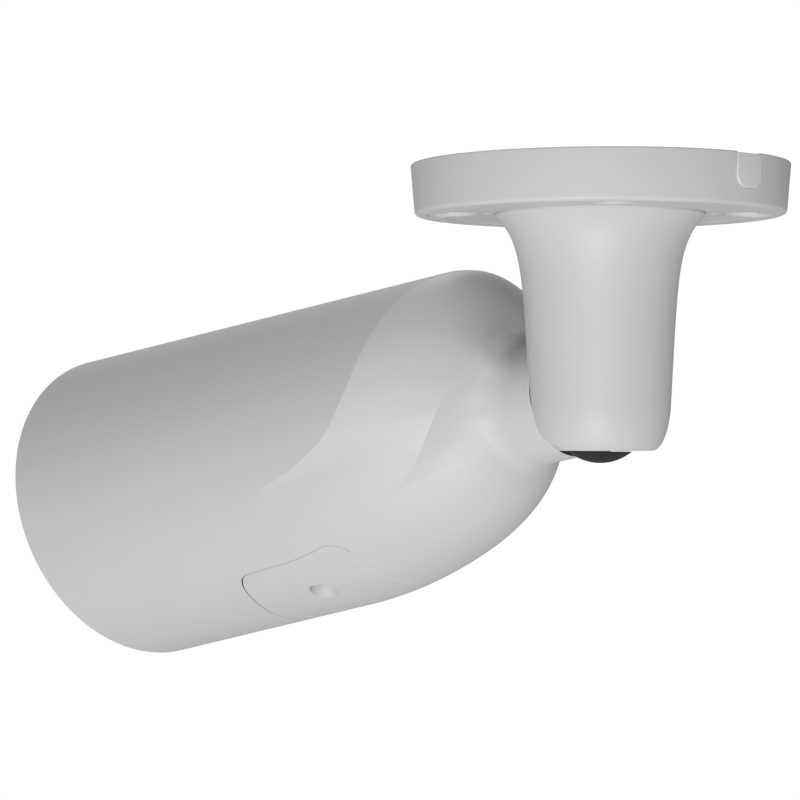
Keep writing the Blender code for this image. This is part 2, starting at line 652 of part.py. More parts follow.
def shell_column(degrees, steps=(3, 3, 1)):
    """(station, radius) points of the shell's outside at one angle from the top, front crease to tail."""
    crease, slope, rear, rear_r, slope_in, slope_out, root, root_slope = rear_lines(degrees)
    front = (crease, cone_radius(crease))
    knots = (
        (front, slope, (rear, rear_r), slope_in),
        ((rear, rear_r), slope_out, (root, ROOT_R), root_slope),
        ((root, ROOT_R), root_slope, (root - ROOT_FILLET, TAIL_R), 0),
    )
    points = [front]
    for (start, leave, end, arrive), count in zip(knots, steps):
        points += [sweep_between(start, leave, end, arrive, i / count) for i in range(1, count + 1)]
    return points


def front_station(degrees, radius):
    """Station of the raked front edge at an angle from the top."""
    return BODY_LENGTH + FRONT_RAKE * radius * math.cos(math.radians(degrees))


def column_angles():
    return [360 * i / COLUMNS for i in range(COLUMNS)]


def from_top(degrees):
    return degrees if degrees <= 180 else 360 - degrees


def body_point(station, degrees, radius):
    """A point of the body's frame: degrees run from the top towards +X."""
    turn = math.radians(degrees)
    return Vector((radius * math.sin(turn), -station, radius * math.cos(turn)))


def lofted(columns, closed):
    """A solid whose sides run through each column's points; closed also joins the last row to the first."""
    bm = bmesh.new()
    rows = [[bm.verts.new(point) for point in row] for row in zip(*columns)]
    count = len(columns)
    pairs = list(zip(rows, rows[1:])) + ([(rows[-1], rows[0])] if closed else [])
    for lower, upper in pairs:
        for i in range(count):
            j = (i + 1) % count
            bm.faces.new((lower[i], lower[j], upper[j], upper[i]))
    if not closed:
        bm.faces.new(rows[0])
        bm.faces.new(rows[-1])
    return bm


def shell_skin(offset):
    """A solid of the shell's outside, set inwards by offset, over the stretch that the door takes."""
    front = DOOR_FRONT + 2 * DOOR_BOW + DOOR_CORNER
    columns = []
    for degrees in column_angles():
        points = [(front, cone_radius(front))] + shell_column(from_top(degrees))[:5]
        columns.append([body_point(station, degrees, radius - offset) for station, radius in points])
    return lofted(columns, closed=False)


def cavity_radius(station):
    """Inside radius of the shell: a constant wall in front, rounded in towards the tail."""
    back = max(0.0, CAVITY_SHOULDER - station) / (CAVITY_SHOULDER - CAVITY_START)
    shoulder_r = cone_radius(max(station, CAVITY_SHOULDER)) - BODY_WALL
    return shoulder_r - (shoulder_r - CAVITY_MOUTH_R) * (1 - math.sqrt(max(0.0, 1 - back ** 2)))


def main_housing(roll):
    edge = SHELL_EDGE
    rib_low, rib_high = SEAT_RIB
    ramp = rib_low - SEAT_RIB_RAMP
    columns = []
    for degrees in column_angles():
        outside = list(reversed(shell_column(from_top(degrees))))
        tail_end = math.sqrt(TAIL_CLEAR_R ** 2 - TAIL_R ** 2)
        front = front_station(degrees, FRONT_R)
        inner_front_r = cone_radius(front) - BODY_WALL
        bore_end = math.sqrt(TAIL_CLEAR_R ** 2 - (SHOULDER_R + GAP) ** 2)
        middle_r = (TAIL_R + SHOULDER_R + GAP) / 2
        points = [(tail_end, TAIL_R)] + outside
        points += [
            (front - edge, cone_radius(front - edge)), (front, cone_radius(front) - edge),
            (front, inner_front_r + edge), (front - edge, inner_front_r),
            (rib_high, cone_radius(rib_high) - BODY_WALL), (rib_high, SEAT_RIB_R), (rib_low, SEAT_RIB_R),
        ]
        points += [(station, cavity_radius(station)) for station in (ramp, CAVITY_SHOULDER, *CAVITY_STATIONS)]
        points += [
            (CAVITY_START, BODY_BORE_R), (SHOULDER[1] + GAP, BODY_BORE_R),
            (SHOULDER[1] + GAP, SHOULDER_R + GAP), (bore_end, SHOULDER_R + GAP),
            (math.sqrt(TAIL_CLEAR_R ** 2 - middle_r ** 2), middle_r),
        ]
        columns.append([body_point(station, degrees, radius) for station, radius in points])
    housing = add_object("main_housing", lofted(columns, closed=True), WHITE, roll)
    head_z = screw_head_z()
    post_top = head_z + DOOR_SCREW_LENGTH
    posts, holes = [], []
    for side in (-1, 1):
        at = (side * DOOR_SCREW[0], -DOOR_SCREW[1], 0)
        posts.append(shift(rod(POST_R, head_z, post_top, 16), at))
        hole = turned([
            (0, DOOR_CUT[0]), (DOOR_BOSS_R + GAP, DOOR_CUT[0]),
            (DOOR_BOSS_R + GAP, head_z + boss_top() + GAP),
            (DOOR_SCREW_R + GAP, head_z + boss_top() + GAP), (DOOR_SCREW_R + GAP, post_top + REACH),
            (0, post_top + REACH),
        ], COARSE)
        holes.append(shift(hole, at))
    combine(housing, add_object("door_posts", joined(posts), parent=roll), "UNION")
    rebate = add_object("door_rebate_cutter", door_outline(GAP, *DOOR_CUT), parent=roll)
    combine(rebate, add_object("door_rebate_floor", shell_skin(DOOR_WALL + GAP), parent=roll), "DIFFERENCE")
    combine(housing, rebate, "DIFFERENCE")
    opening = body_box(*DOOR_OPENING, DOOR_CUT)
    combine(housing, add_object("door_opening_cutter", opening, parent=roll), "DIFFERENCE")
    combine(housing, add_object("door_holes_cutter", joined(holes), parent=roll), "DIFFERENCE")
    screws = []
    for degrees in bezel_screw_angles():
        x, y = on_circle(BEZEL_SCREW_CIRCLE_R, degrees)
        screw = rod(BEZEL_SCREW_R + GAP, rib_low - 2 * REACH, rib_high + REACH, 8)
        screws.append(forward(shift(screw, (x, y, 0))))
    combine(housing, add_object("bezel_screw_cutter", joined(screws), parent=roll), "DIFFERENCE")


def screw_head_z():
    """Height of the outer face of a door screw's head, in the body's frame."""
    x, station = DOOR_SCREW
    return -math.sqrt(cone_radius(station) ** 2 - x ** 2) + DOOR_RECESS_DEPTH


def boss_top():
    """Height of the door's bosses above the outer face of the screw heads."""
    return DOOR_SCREW_HEAD + GAP + DOOR_BOSS_FLOOR


def door_outline(clearance, low, high):
    """A prism of the door's outline seen from below, grown by clearance."""
    half, corner = DOOR_HALF_WIDTH + clearance, DOOR_CORNER
    rear, front = DOOR_REAR - clearance, DOOR_FRONT + clearance
    quarter = arc(corner, 0, 90, 4)
    right = [(half, rear + corner), (half, front - corner)]
    right += [(half - corner + x, front - corner + y) for x, y in quarter[1:]]
    bow = [(x, front + DOOR_BOW * math.cos(math.pi / 2 * x / (half - corner)))
           for x in ((half - corner) * share for share in (0.6, 0, -0.6))]
    left = [(-x, s) for x, s in reversed(right)]
    back = [(-half + corner - x, rear + corner - y) for x, y in quarter[1:]]
    outline = right + bow + left + back + [(-x, s) for x, s in reversed(back)]
    return extruded([(x, -station, low) for x, station in outline], (0, 0, high - low))


def access_door(roll):
    door = add_object("access_door", door_outline(0, *DOOR_CUT), WHITE, roll)
    combine(door, add_object("door_outer_skin", shell_skin(0), parent=roll), "INTERSECT")
    combine(door, add_object("door_inner_skin", shell_skin(DOOR_WALL), parent=roll), "DIFFERENCE")
    head_z = screw_head_z()
    for side, tag in ((-1, "a"), (1, "b")):
        x, y = side * DOOR_SCREW[0], -DOOR_SCREW[1]
        boss = shift(rod(DOOR_BOSS_R, head_z + DOOR_BOSS_SINK, head_z + boss_top(), COARSE), (x, y, 0))
        combine(door, add_object(f"door_boss_{tag}", boss, parent=roll), "UNION")
        recess = turned([
            (0, DOOR_CUT[0]), (DOOR_RECESS_R, DOOR_CUT[0]), (DOOR_RECESS_R, head_z + DOOR_SCREW_HEAD + GAP),
            (DOOR_SCREW_R + GAP, head_z + DOOR_SCREW_HEAD + GAP), (DOOR_SCREW_R + GAP, DOOR_CUT[1]),
            (0, DOOR_CUT[1]),
        ], COARSE)
        combine(door, add_object(f"door_recess_{tag}", shift(recess, (x, y, 0)), parent=roll), "DIFFERENCE")
    for number, side in enumerate((-1, 1), 1):
        screw = [
            (0, head_z), (DOOR_SCREW_HEAD_R, head_z), (DOOR_SCREW_HEAD_R, head_z + DOOR_SCREW_HEAD),
            (DOOR_SCREW_R, head_z + DOOR_SCREW_HEAD), (DOOR_SCREW_R, head_z + DOOR_SCREW_LENGTH),
            (0, head_z + DOOR_SCREW_LENGTH),
        ]
        at = (side * DOOR_SCREW[0], -DOOR_SCREW[1], 0)
        add_object(f"door_screw_{number}", turned(screw, COARSE), STEEL, roll, at)


# ---- Front window, lighting and lens


def bezel_screw_angles():
    return [90 + 360 * i / BEZEL_SCREWS for i in range(BEZEL_SCREWS)]


def front_window(roll):
    lip_rear = BEZEL_FRONT - BEZEL_LIP
    outer_rear = cone_radius(BEZEL_REAR) - BODY_WALL - GAP
    outer_front = cone_radius(BEZEL_FRONT) - BODY_WALL - GAP
    profile = [
        (WINDOW_R + GAP, BEZEL_REAR), (outer_rear, BEZEL_REAR), (outer_front, BEZEL_FRONT),
        (BEZEL_LIP_R + BEZEL_LIP / 2, BEZEL_FRONT), (BEZEL_LIP_R, BEZEL_FRONT - BEZEL_LIP / 2),
        (BEZEL_LIP_R, lip_rear), (WINDOW_R + GAP, lip_rear),
    ]
    bezel = add_object("front_bezel", forward(turned(profile)), BLACK_PLASTIC, roll)
    holes = []
    head_rear = BEZEL_FRONT - BEZEL_SCREW_HEAD
    for number, degrees in enumerate(bezel_screw_angles(), 1):
        x, y = on_circle(BEZEL_SCREW_CIRCLE_R, degrees)
        hole = turned([
            (0, BEZEL_REAR - REACH), (BEZEL_SCREW_R + GAP, BEZEL_REAR - REACH),
            (BEZEL_SCREW_R + GAP, head_rear - GAP), (BEZEL_SCREW_HEAD_R + GAP, head_rear - GAP),
            (BEZEL_SCREW_HEAD_R + GAP, BEZEL_FRONT + REACH), (0, BEZEL_FRONT + REACH),
        ], 8)
        holes.append(forward(shift(hole, (x, y, 0))))
        screw = turned([
            (0, SEAT_RIB[0] - REACH), (BEZEL_SCREW_R, SEAT_RIB[0] - REACH), (BEZEL_SCREW_R, head_rear),
            (BEZEL_SCREW_HEAD_R, head_rear), (BEZEL_SCREW_HEAD_R, BEZEL_FRONT), (0, BEZEL_FRONT),
        ], 8)
        add_object(f"bezel_screw_{number}", forward(screw), STEEL, roll, (x, 0, y))
    combine(bezel, add_object("bezel_holes_cutter", joined(holes), parent=roll), "DIFFERENCE")
    add_object("window_glass", forward(rod(WINDOW_R, WINDOW_REAR, WINDOW_FRONT, FINE)), GLASS, roll)
    seal = ring(WINDOW_SEAL_R, WINDOW_R, SEAL_REAR, SEAL_REAR + WINDOW_SEAL_THICK, 32)
    add_object("window_seal", forward(seal), RUBBER, roll)
    baffle = ring(*BAFFLE_R, BAFFLE_START, WINDOW_REAR - GAP, MEDIUM)
    add_object("lens_baffle", forward(baffle), RUBBER, roll)


def lighting(roll):
    add_object("led_board", forward(ring(LED_BOARD_BORE_R, LED_BOARD_R, *LED_BOARD, 32)), BOARD, roll)
    low = LED_BOARD[1] + GAP
    for number in range(LED_COUNT):
        x, z = on_circle(LED_CIRCLE_R, 360 * (number + 0.5) / LED_COUNT)
        dome = [(0, low), (LED_R, low)]
        dome += [(LED_R * across, low + LED_HEIGHT * up) for across, up in LED_SHOULDERS]
        dome.append((0, low + LED_HEIGHT))
        add_object(f"led_{number + 1}", forward(turned(dome, 8)), LAMP, roll, (x, 0, z))


def lens_element(name, limits, roll):
    low, high = limits
    profile = [(0, low - LENS_BULGE)]
    profile += [(LENS_R * LENS_CURVE, low - LENS_BULGE * LENS_CURVE), (LENS_R, low), (LENS_R, high)]
    profile += [(LENS_R * LENS_CURVE, high + LENS_BULGE * LENS_CURVE), (0, high + LENS_BULGE)]
    add_object(name, forward(turned(profile, 16)), GLASS, roll)


def lens(roll):
    add_object("lens_barrel", forward(ring(BARREL_BORE_R, BARREL_R, *BARREL, MEDIUM)), BLACK_PLASTIC, roll)
    lens_element("front_lens", FRONT_LENS, roll)
    lens_element("rear_lens", REAR_LENS, roll)
    for name, (low, high), turn in (("focus_ring", FOCUS_RING, 60), ("zoom_ring", ZOOM_RING, -60)):
        hoop = ring(BARREL_R + GAP, LENS_RING_R, low, high, MEDIUM)
        band = add_object(name, forward(hoop), BLACK_PLASTIC, roll)
        knob = rod(RING_KNOB_R, LENS_RING_R - RING_KNOB_ROOT, LENS_RING_R + RING_KNOB_HEIGHT, 8)
        knob.transform(Matrix.Rotation(math.radians(turn), 4, "Y"))
        knob = shift(knob, (0, -(low + high) / 2, 0))
        combine(band, add_object(f"{name}_knob", knob, parent=roll), "UNION")
    half, bore = LENS_MOUNT_HALF, LENS_MOUNT_BORE_R
    block = body_box((-half, half), LENS_MOUNT, (-half, half))
    holder = add_object("lens_mount", block, BLACK_PLASTIC, roll)
    hole = forward(rod(bore, LENS_MOUNT[0] - REACH, LENS_MOUNT[1] + REACH, 16))
    slot = body_box((-half - REACH, half + REACH), FILTER_SLOT, (-FILTER_SLOT_HALF, FILTER_SLOT_HALF))
    combine(holder, add_object("lens_mount_bore_cutter", hole, parent=roll), "DIFFERENCE")
    combine(holder, add_object("filter_slot_cutter", slot, parent=roll), "DIFFERENCE")
    wide, tall = FILTER_HALF
    carriage = body_box((-wide, wide), (FILTER_SLOT[0] + GAP, FILTER_SLOT[1] - GAP), (-tall, tall))
    add_object("ir_cut_filter", carriage, GLASS, roll)
    half = SENSOR_BOARD_HALF
    add_object("sensor_board", body_box((-half, half), SENSOR_BOARD, (-half, half)), BOARD, roll)
    low = SENSOR_BOARD[1] + GAP
    wide, tall = SENSOR_HALF
    add_object("image_sensor", body_box((-wide, wide), (low, low + SENSOR_THICK), (-tall, tall)), CHIP, roll)


# ---- Chassis and electronics


def chassis(roll):
    disc = forward(rod(CHASSIS_R, *CHASSIS_DISC, 32))
    frame = add_object("chassis", disc, ALUMINIUM, roll)
    half = CHASSIS_PLATE_HALF
    plate = body_box((-half, half), (CHASSIS_PLATE_REAR, CHASSIS_DISC[1] - GAP), CHASSIS_PLATE_Z)
    combine(frame, add_object("chassis_plate", plate, parent=roll), "UNION")
    posts = []
    for degrees in (90, 210, 330):
        x, y = on_circle(CHASSIS_POST_CIRCLE_R, degrees)
        post = rod(CHASSIS_POST_R, CHASSIS_DISC[0] + GAP, LED_BOARD[0] - GAP, 8)
        posts.append(forward(shift(post, (x, y, 0))))
    combine(frame, add_object("chassis_posts", joined(posts), parent=roll), "UNION")


def boards(roll):
    half, top = MAIN_BOARD_HALF, MAIN_BOARD_Z + BOARD_THICK
    add_object("main_board", body_box((-half, half), MAIN_BOARD, (MAIN_BOARD_Z, top)), BOARD, roll)
    half = POWER_BOARD_HALF
    power = body_box((-half, half), POWER_BOARD, (POWER_BOARD_Z, POWER_BOARD_Z + BOARD_THICK))
    add_object("power_board", power, BOARD, roll)
    half, low = HEAT_SINK_HALF, top + GAP
    base_top = low + HEAT_SINK_BASE
    sink = add_object("heat_sink", body_box((-half, half), HEAT_SINK, (low, base_top)), ALUMINIUM, roll)
    pitch = 2 * half / (HEAT_SINK_FINS - 0.5)
    fins = []
    for number in range(HEAT_SINK_FINS):
        left = -half + number * pitch
        inside = (HEAT_SINK[0] + GAP, HEAT_SINK[1] - GAP)
        limits = (max(left, -half + GAP), min(left + pitch / 2, half - GAP))
        fins.append(body_box(limits, inside, (low + GAP, base_top + HEAT_SINK_FIN)))
    combine(sink, add_object("heat_sink_fins", joined(fins), parent=roll), "UNION")
    half = SOCKET_HALF
    under = MAIN_BOARD_Z - GAP
    stations = (MAIN_BOARD[0], MAIN_BOARD[0] + SOCKET_LENGTH)
    block = body_box((-half, half), stations, (under - SOCKET_HEIGHT, under))
    socket = add_object("network_socket", block, BLACK_PLASTIC, roll)
    half, wall = SOCKET_HOLE_HALF, (SOCKET_HEIGHT - SOCKET_HOLE_HEIGHT) / 2
    hole = body_box((-half, half), (stations[0] - REACH, stations[0] + SOCKET_HOLE_DEPTH),
                    (under - SOCKET_HEIGHT + wall, under - wall))
    combine(socket, add_object("network_socket_cutter", hole, parent=roll), "DIFFERENCE")
    card_reader(roll)


def card_reader(roll):
    """The memory card in its slot and the reset switch, under the power board and behind the door."""
    top = POWER_BOARD_Z - GAP
    bottom = top - CARD_SLOT_THICK
    slot = add_object("card_slot", body_box(CARD_SLOT_X, CARD_SLOT, (bottom, top)), STEEL, roll)
    middle = (top + bottom) / 2
    low, high = middle - CARD_THICK / 2, middle + CARD_THICK / 2
    front = CARD_SLOT[1] + CARD_OUT
    pocket = body_box((CARD_X[0] - GAP, CARD_X[1] + GAP), (front - CARD_LENGTH - GAP, front),
                      (low - GAP, high + GAP))
    combine(slot, add_object("card_pocket_cutter", pocket, parent=roll), "DIFFERENCE")
    card = body_box(CARD_X, (front - CARD_LENGTH, front), (low, high))
    add_object("memory_card", card, CHIP, roll)
    half = SWITCH_HALF
    stations = (SWITCH_STATION - half, SWITCH_STATION + half)
    body = body_box((SWITCH_X - half, SWITCH_X + half), stations, (top - SWITCH_HEIGHT, top))
    switch = add_object("reset_switch", body, BLACK_PLASTIC, roll)
    at = (SWITCH_X, -SWITCH_STATION, 0)
    button_top = top - BUTTON_TRAVEL - 2 * GAP - BUTTON_ROOF
    well = rod(BUTTON_R + GAP, top - SWITCH_HEIGHT - REACH, button_top + BUTTON_TRAVEL + GAP, COARSE)
    combine(switch, add_object("reset_well_cutter", shift(well, at), parent=roll), "DIFFERENCE")
    button = rod(BUTTON_R, top - SWITCH_HEIGHT - BUTTON_OUT, button_top, COARSE)
    add_object("reset_button", button, RUBBER, roll, at)


def roll_nut(tilt):
    low = CAVITY_START + GAP
    high = low + NUT_LENGTH
    nut = add_object("roll_nut", forward(rod(NUT_R, low, high, 6)), STEEL, tilt)
    bore = forward(rod(STEM_R + GAP, low - REACH, high + REACH, 16))
    combine(nut, add_object("nut_bore_cutter", bore, parent=tilt), "DIFFERENCE")


def build():
    clear_scene()
    pan = axis_empty("pan_axis")
    tilt = axis_empty("tilt_axis", (0, 0, BALL_Z), TILT_AT_REST, pan)
    roll = axis_empty("roll_axis", parent=tilt)
    mounting_flange()
    flange_fittings()
    neck_arm(pan)
    joint_pieces(pan)
    ball_stud(tilt)
    roll_nut(tilt)
    main_housing(roll)
    access_door(roll)
    front_window(roll)
    lighting(roll)
    lens(roll)
    chassis(roll)
    boards(roll)


build()
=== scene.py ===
"""Looks of the ceiling-mounted bullet camera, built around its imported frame."""

import json
import math

import bmesh
import bpy
from mathutils import Matrix, Vector


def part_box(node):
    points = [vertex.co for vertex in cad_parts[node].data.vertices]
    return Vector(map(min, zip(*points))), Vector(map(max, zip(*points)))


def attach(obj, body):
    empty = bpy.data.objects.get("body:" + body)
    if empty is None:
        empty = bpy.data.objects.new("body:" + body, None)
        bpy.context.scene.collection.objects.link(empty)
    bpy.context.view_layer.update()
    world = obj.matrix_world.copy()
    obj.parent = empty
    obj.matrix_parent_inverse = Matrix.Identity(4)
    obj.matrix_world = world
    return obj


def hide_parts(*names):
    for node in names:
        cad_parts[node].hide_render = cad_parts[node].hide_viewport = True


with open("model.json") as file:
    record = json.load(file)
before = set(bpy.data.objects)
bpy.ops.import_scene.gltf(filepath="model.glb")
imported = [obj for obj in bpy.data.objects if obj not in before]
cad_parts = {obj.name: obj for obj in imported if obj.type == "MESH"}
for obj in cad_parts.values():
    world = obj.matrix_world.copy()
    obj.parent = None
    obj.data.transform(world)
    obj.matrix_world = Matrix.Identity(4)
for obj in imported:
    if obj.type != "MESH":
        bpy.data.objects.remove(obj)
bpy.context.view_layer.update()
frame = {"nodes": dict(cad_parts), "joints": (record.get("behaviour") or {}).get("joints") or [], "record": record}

MM = 0.001
GAP = 0.3 * MM  # between pieces that touch, as in the frame
REACH = 2 * MM  # how far a cutter runs past the face it cuts

# Places and sizes read from the frame
FLANGE_LOW, FLANGE_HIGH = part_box("mounting_flange")
FLANGE_R = FLANGE_HIGH.x
FLANGE_TOP = FLANGE_HIGH.z
FLANGE_BOTTOM = FLANGE_LOW.z
ARM_LOW, ARM_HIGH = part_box("neck_arm")
ARM_BOTTOM = ARM_LOW.z
COLLAR_TOP = ARM_HIGH.z
COLLAR_R = ARM_HIGH.x
CAP_LOW, CAP_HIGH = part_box("lock_screw_cap")
CAP_R = CAP_HIGH.x


def joint(name):
    return next(item for item in frame["joints"] if item["name"] == name)


BALL = Vector(joint("tilt")["pos_m"])
LOOK = Vector(joint("roll")["axis"])  # the way the camera looks
TILT = math.asin(-LOOK.z)
BODY_FRAME = Matrix.Translation(BALL) @ Matrix.Rotation(TILT, 4, "X")  # body frame to world

# Flange
FLANGE_FOOT_R = FLANGE_R - 1.1 * MM
FOOT_ROUND = 1.3 * MM
TOP_ROUND = 0.5 * MM
STEP_R = 45.5 * MM
STEP_DEPTH = 0.6 * MM
HOLE_CIRCLE_R = 43 * MM
HOLE_R = 2.75 * MM
RECESS_R = 7.65 * MM
RECESS_DEPTH = 1.1 * MM
RECESS_ROUND = 0.35 * MM
SEAL_GROOVE = (48 * MM, 52 * MM, 1.8 * MM)  # inner radius, outer radius, depth
FLOOR = 4.5 * MM
ARM_SLIT = 0.12 * MM  # between the flange and the arm that turns in it
PLUG_WIDTH = 10.6 * MM
PLUG_DEPTH = 10.0 * MM
PLUG_CORNER = 4.0 * MM
PLUG_LENGTH = 6.0 * MM
PLUG_INSET = 0.2 * MM  # of its face behind the flange's edge
PLUG_SLIT = 0.08 * MM
PLUG_EDGE = 0.25 * MM
PAN_SCREW_CIRCLE_R = 33 * MM
PAN_SCREW_R = 1.5 * MM
RING_HOLE_R = 1.5 * MM

# Arm
ARM_LENGTH = FLANGE_BOTTOM - ARM_BOTTOM
ARM_ROOT_R = 30.5 * MM
ARM_SHANK_R = 23.4 * MM
ARM_SHANK_TAPER = 0.0533
ARM_FLARE_LENGTH = 7 * MM
ARM_CORNER = (4.6 * MM, 13 * MM)
ARM_BORE_R = 15 * MM
ARM_BORE_CORNER = 3 * MM
ARM_PLATE = 3.2 * MM
TONGUE_R = 9.6 * MM
STEM_SLOT_HALF = 6.5 * MM
RUN = 0.15 * MM  # between the arm and the tail that slides in it

# Ball stud, with stations forward of the ball's centre
BALL_R = 11 * MM
STEM_R = 5 * MM
WIRE_BORE_R = 2.8 * MM
STUD_SHOULDER = (21.6 * MM, 24.8 * MM, 9.5 * MM)  # where it starts and ends, and its radius
STUD_THREAD = (44 * MM, 12, 1.25 * MM)  # where it starts, turns, pitch
STUD_END = 60 * MM

# Camera body
BODY_LENGTH = 212 * MM
FRONT_R = 51.6 * MM
BODY_DRAFT = math.radians(1.95)
FRONT_RAKE = 0.1103
BODY_WALL = 4.6 * MM
FRONT_EDGE = 0.7 * MM
TAIL_R = 17.2 * MM
TAIL_CLEAR_R = 21.2 * MM
CAVITY = (48 * MM, 112 * MM, 16 * MM)  # where it starts, where it is full, radius at its start
SEAT_RIB = (185 * MM, 190.5 * MM, 39.5 * MM)
SHOULDER_R = 9.8 * MM
SHOULDER_END = 25.1 * MM
STEM_BORE_R = 5.3 * MM
ROOT_R = 19.5 * MM
ROOT_FILLET = (4 * MM, 8 * MM)  # above and below the tail, and at its sides
# At angles round the shell from its top, in degrees: front crease station, slope behind it, rear crease
# station and radius, slopes before and behind it, station of the tail's root and slope there.
# Stations and radii are in mm, and slopes are degrees off the axis.
REAR_LINES = {
    0: (45.0, 6, 28.0, 24.0, 75, 85, 26.0, 60),
    45: (51.0, 18, 27.0, 25.5, 60, 82, 25.8, 45),
    70: (56.7, 22, 30.5, 28.5, 46, 80, 28.0, 36),
    90: (67.5, 18, 36.5, 31.5, 36, 76, 30.0, 32),
    100: (84.0, 11, 40.5, 32.7, 33, 64, 30.5, 33),
    106: (102.0, 5, 43.2, 33.5, 30, 53, 31.0, 36),
    112: (107.0, 3, 47.0, 34.4, 27, 42, 31.2, 40),
    118: (109.0, 2, 52.5, 36.2, 25, 32, 31.2, 44),
    126: (110.0, 2, 62.0, 39.6, 20, 24, 31.2, 48),
    180: (110.0, 2, 63.0, 39.3, 18, 18, 31.0, 56),
}
COLUMNS = 240

# Access door
DOOR_HALF_WIDTH = 33.5 * MM
DOOR_STATIONS = (81 * MM, 131 * MM)
DOOR_BOW = 5 * MM
DOOR_CORNER = 8 * MM
DOOR_WALL = 2.2 * MM
DOOR_OPENING = ((-13.5 * MM, 13.5 * MM), (89 * MM, 124 * MM))
DOOR_SCREW = (20 * MM, 104.6 * MM)
DOOR_SCREW_R = 1.5 * MM
DOOR_HEAD_R = 4.15 * MM
DOOR_HEAD = 1.6 * MM
DOOR_RECESS_R = 4.3 * MM
DOOR_RECESS_DEPTH = 2.2 * MM
DOOR_SCREW_LENGTH = 11 * MM
DOOR_BOSS_R = 6.2 * MM
DOOR_BOSS_FLOOR = 1.6 * MM
DOOR_RECESS_FLARE = 2.5 * MM
DOOR_HOLE_R = 1.8 * MM
DOOR_CUT = (-60 * MM, -20 * MM)  # heights that the door's cutters span
POST_R = 8.5 * MM

# Front
BEZEL = (190.8 * MM, 201 * MM)
BEZEL_LIP = 4 * MM
BEZEL_LIP_R = 38.5 * MM
BEZEL_SCREW_CIRCLE_R = 43.8 * MM
BEZEL_SCREW_R = 1.1 * MM
BEZEL_SCREW_END = 183 * MM
BEZEL_HOLE_R = 1.4 * MM
BEZEL_HEAD_R = 1.9 * MM
BEZEL_HEAD = 1.6 * MM
WINDOW_R = 41.2 * MM
WINDOW = (193.1 * MM, 196.1 * MM)
LED_CIRCLE_R = 28.5 * MM
LED_R = 4.2 * MM
LED_BASE = 182.9 * MM
LED_HEIGHT = 3.6 * MM
LENS_R = 9.4 * MM
LENS_BULGE = 1.2 * MM
LENSES = {"front": (177 * MM, 182.5 * MM), "rear": (146 * MM, 149 * MM)}  # stations of each one's two faces
# Stations of each ring's two ends, and degrees round to its knob
LENS_RINGS = {"focus": ((168 * MM, 176 * MM), 60), "zoom": ((152 * MM, 160 * MM), -60)}
LENS_RING_R = 15.5 * MM
LENS_RING_BORE_R = 12.3 * MM
RIDGES = 60
RIDGE_DEPTH = 0.35 * MM


# ---- Nodes and materials


def srgb(code):
    """A colour from its sRGB hex code, made linear."""
    channels = [int(code[i:i + 2], 16) / 255 for i in (1, 3, 5)]
    return (*[c / 12.92 if c <= 0.04045 else ((c + 0.055) / 1.055) ** 2.4 for c in channels], 1.0)


def add_node(tree, kind, settings=(), inputs=()):
    """Adds a node with its settings, and its inputs as values or as sockets to link from."""
    node = tree.nodes.new(kind)
    for name, value in dict(settings).items():
        setattr(node, name, value)
    for name, value in dict(inputs).items():
        if isinstance(value, bpy.types.NodeSocket):
            tree.links.new(value, node.inputs[name])
        else:
            node.inputs[name].default_value = value
    return node


def new_material(name, color, roughness, metallic=0.0, **sockets):
    """A material, its node tree and its shader; the sockets are named as in the shader, with _ for spaces."""
    made = bpy.data.materials.new(name)
    made.use_nodes = True
    tree = made.node_tree
    shader = tree.nodes["Principled BSDF"]
    shader.inputs["Base Color"].default_value = srgb(color)
    shader.inputs["Roughness"].default_value = roughness
    shader.inputs["Metallic"].default_value = metallic
    for socket, value in sockets.items():
        shader.inputs[socket.replace("_", " ")].default_value = value
    return made, tree, shader


def noise(tree, size, detail=2.0, roughness=0.5, stretch=(1, 1, 1)):
    """Noise whose grains are about size metres across, on object coordinates."""
    place = add_node(tree, "ShaderNodeTexCoord").outputs["Object"]
    if stretch != (1, 1, 1):
        turned_to = {"Vector": place, "Scale": stretch}
        place = add_node(tree, "ShaderNodeMapping", inputs=turned_to).outputs["Vector"]
    return add_node(tree, "ShaderNodeTexNoise", inputs={
        "Vector": place, "Scale": 1 / size, "Detail": detail, "Roughness": roughness}).outputs["Fac"]


def vary_color(tree, shader, fac, dark, light):
    """Runs the base colour from dark to light with fac."""
    mix = add_node(tree, "ShaderNodeMix", {"data_type": "RGBA"}, {"Factor": fac})
    mix.inputs[6].default_value = srgb(dark)
    mix.inputs[7].default_value = srgb(light)
    tree.links.new(mix.outputs[2], shader.inputs["Base Color"])


def vary_value(tree, target, fac, low, high):
    """Runs a shader value from low to high with fac."""
    spread = add_node(tree, "ShaderNodeMapRange", inputs={"Value": fac, "To Min": low, "To Max": high})
    tree.links.new(spread.outputs["Result"], target)


def bump(tree, shader, layers):
    """Stacks bumps, each (height socket, depth in metres)."""
    normal = None
    for height, depth in layers:
        inputs = {"Height": height, "Distance": depth, "Strength": 1.0}
        if normal:
            inputs["Normal"] = normal
        normal = add_node(tree, "ShaderNodeBump", inputs=inputs).outputs["Normal"]
    tree.links.new(normal, shader.inputs["Normal"])


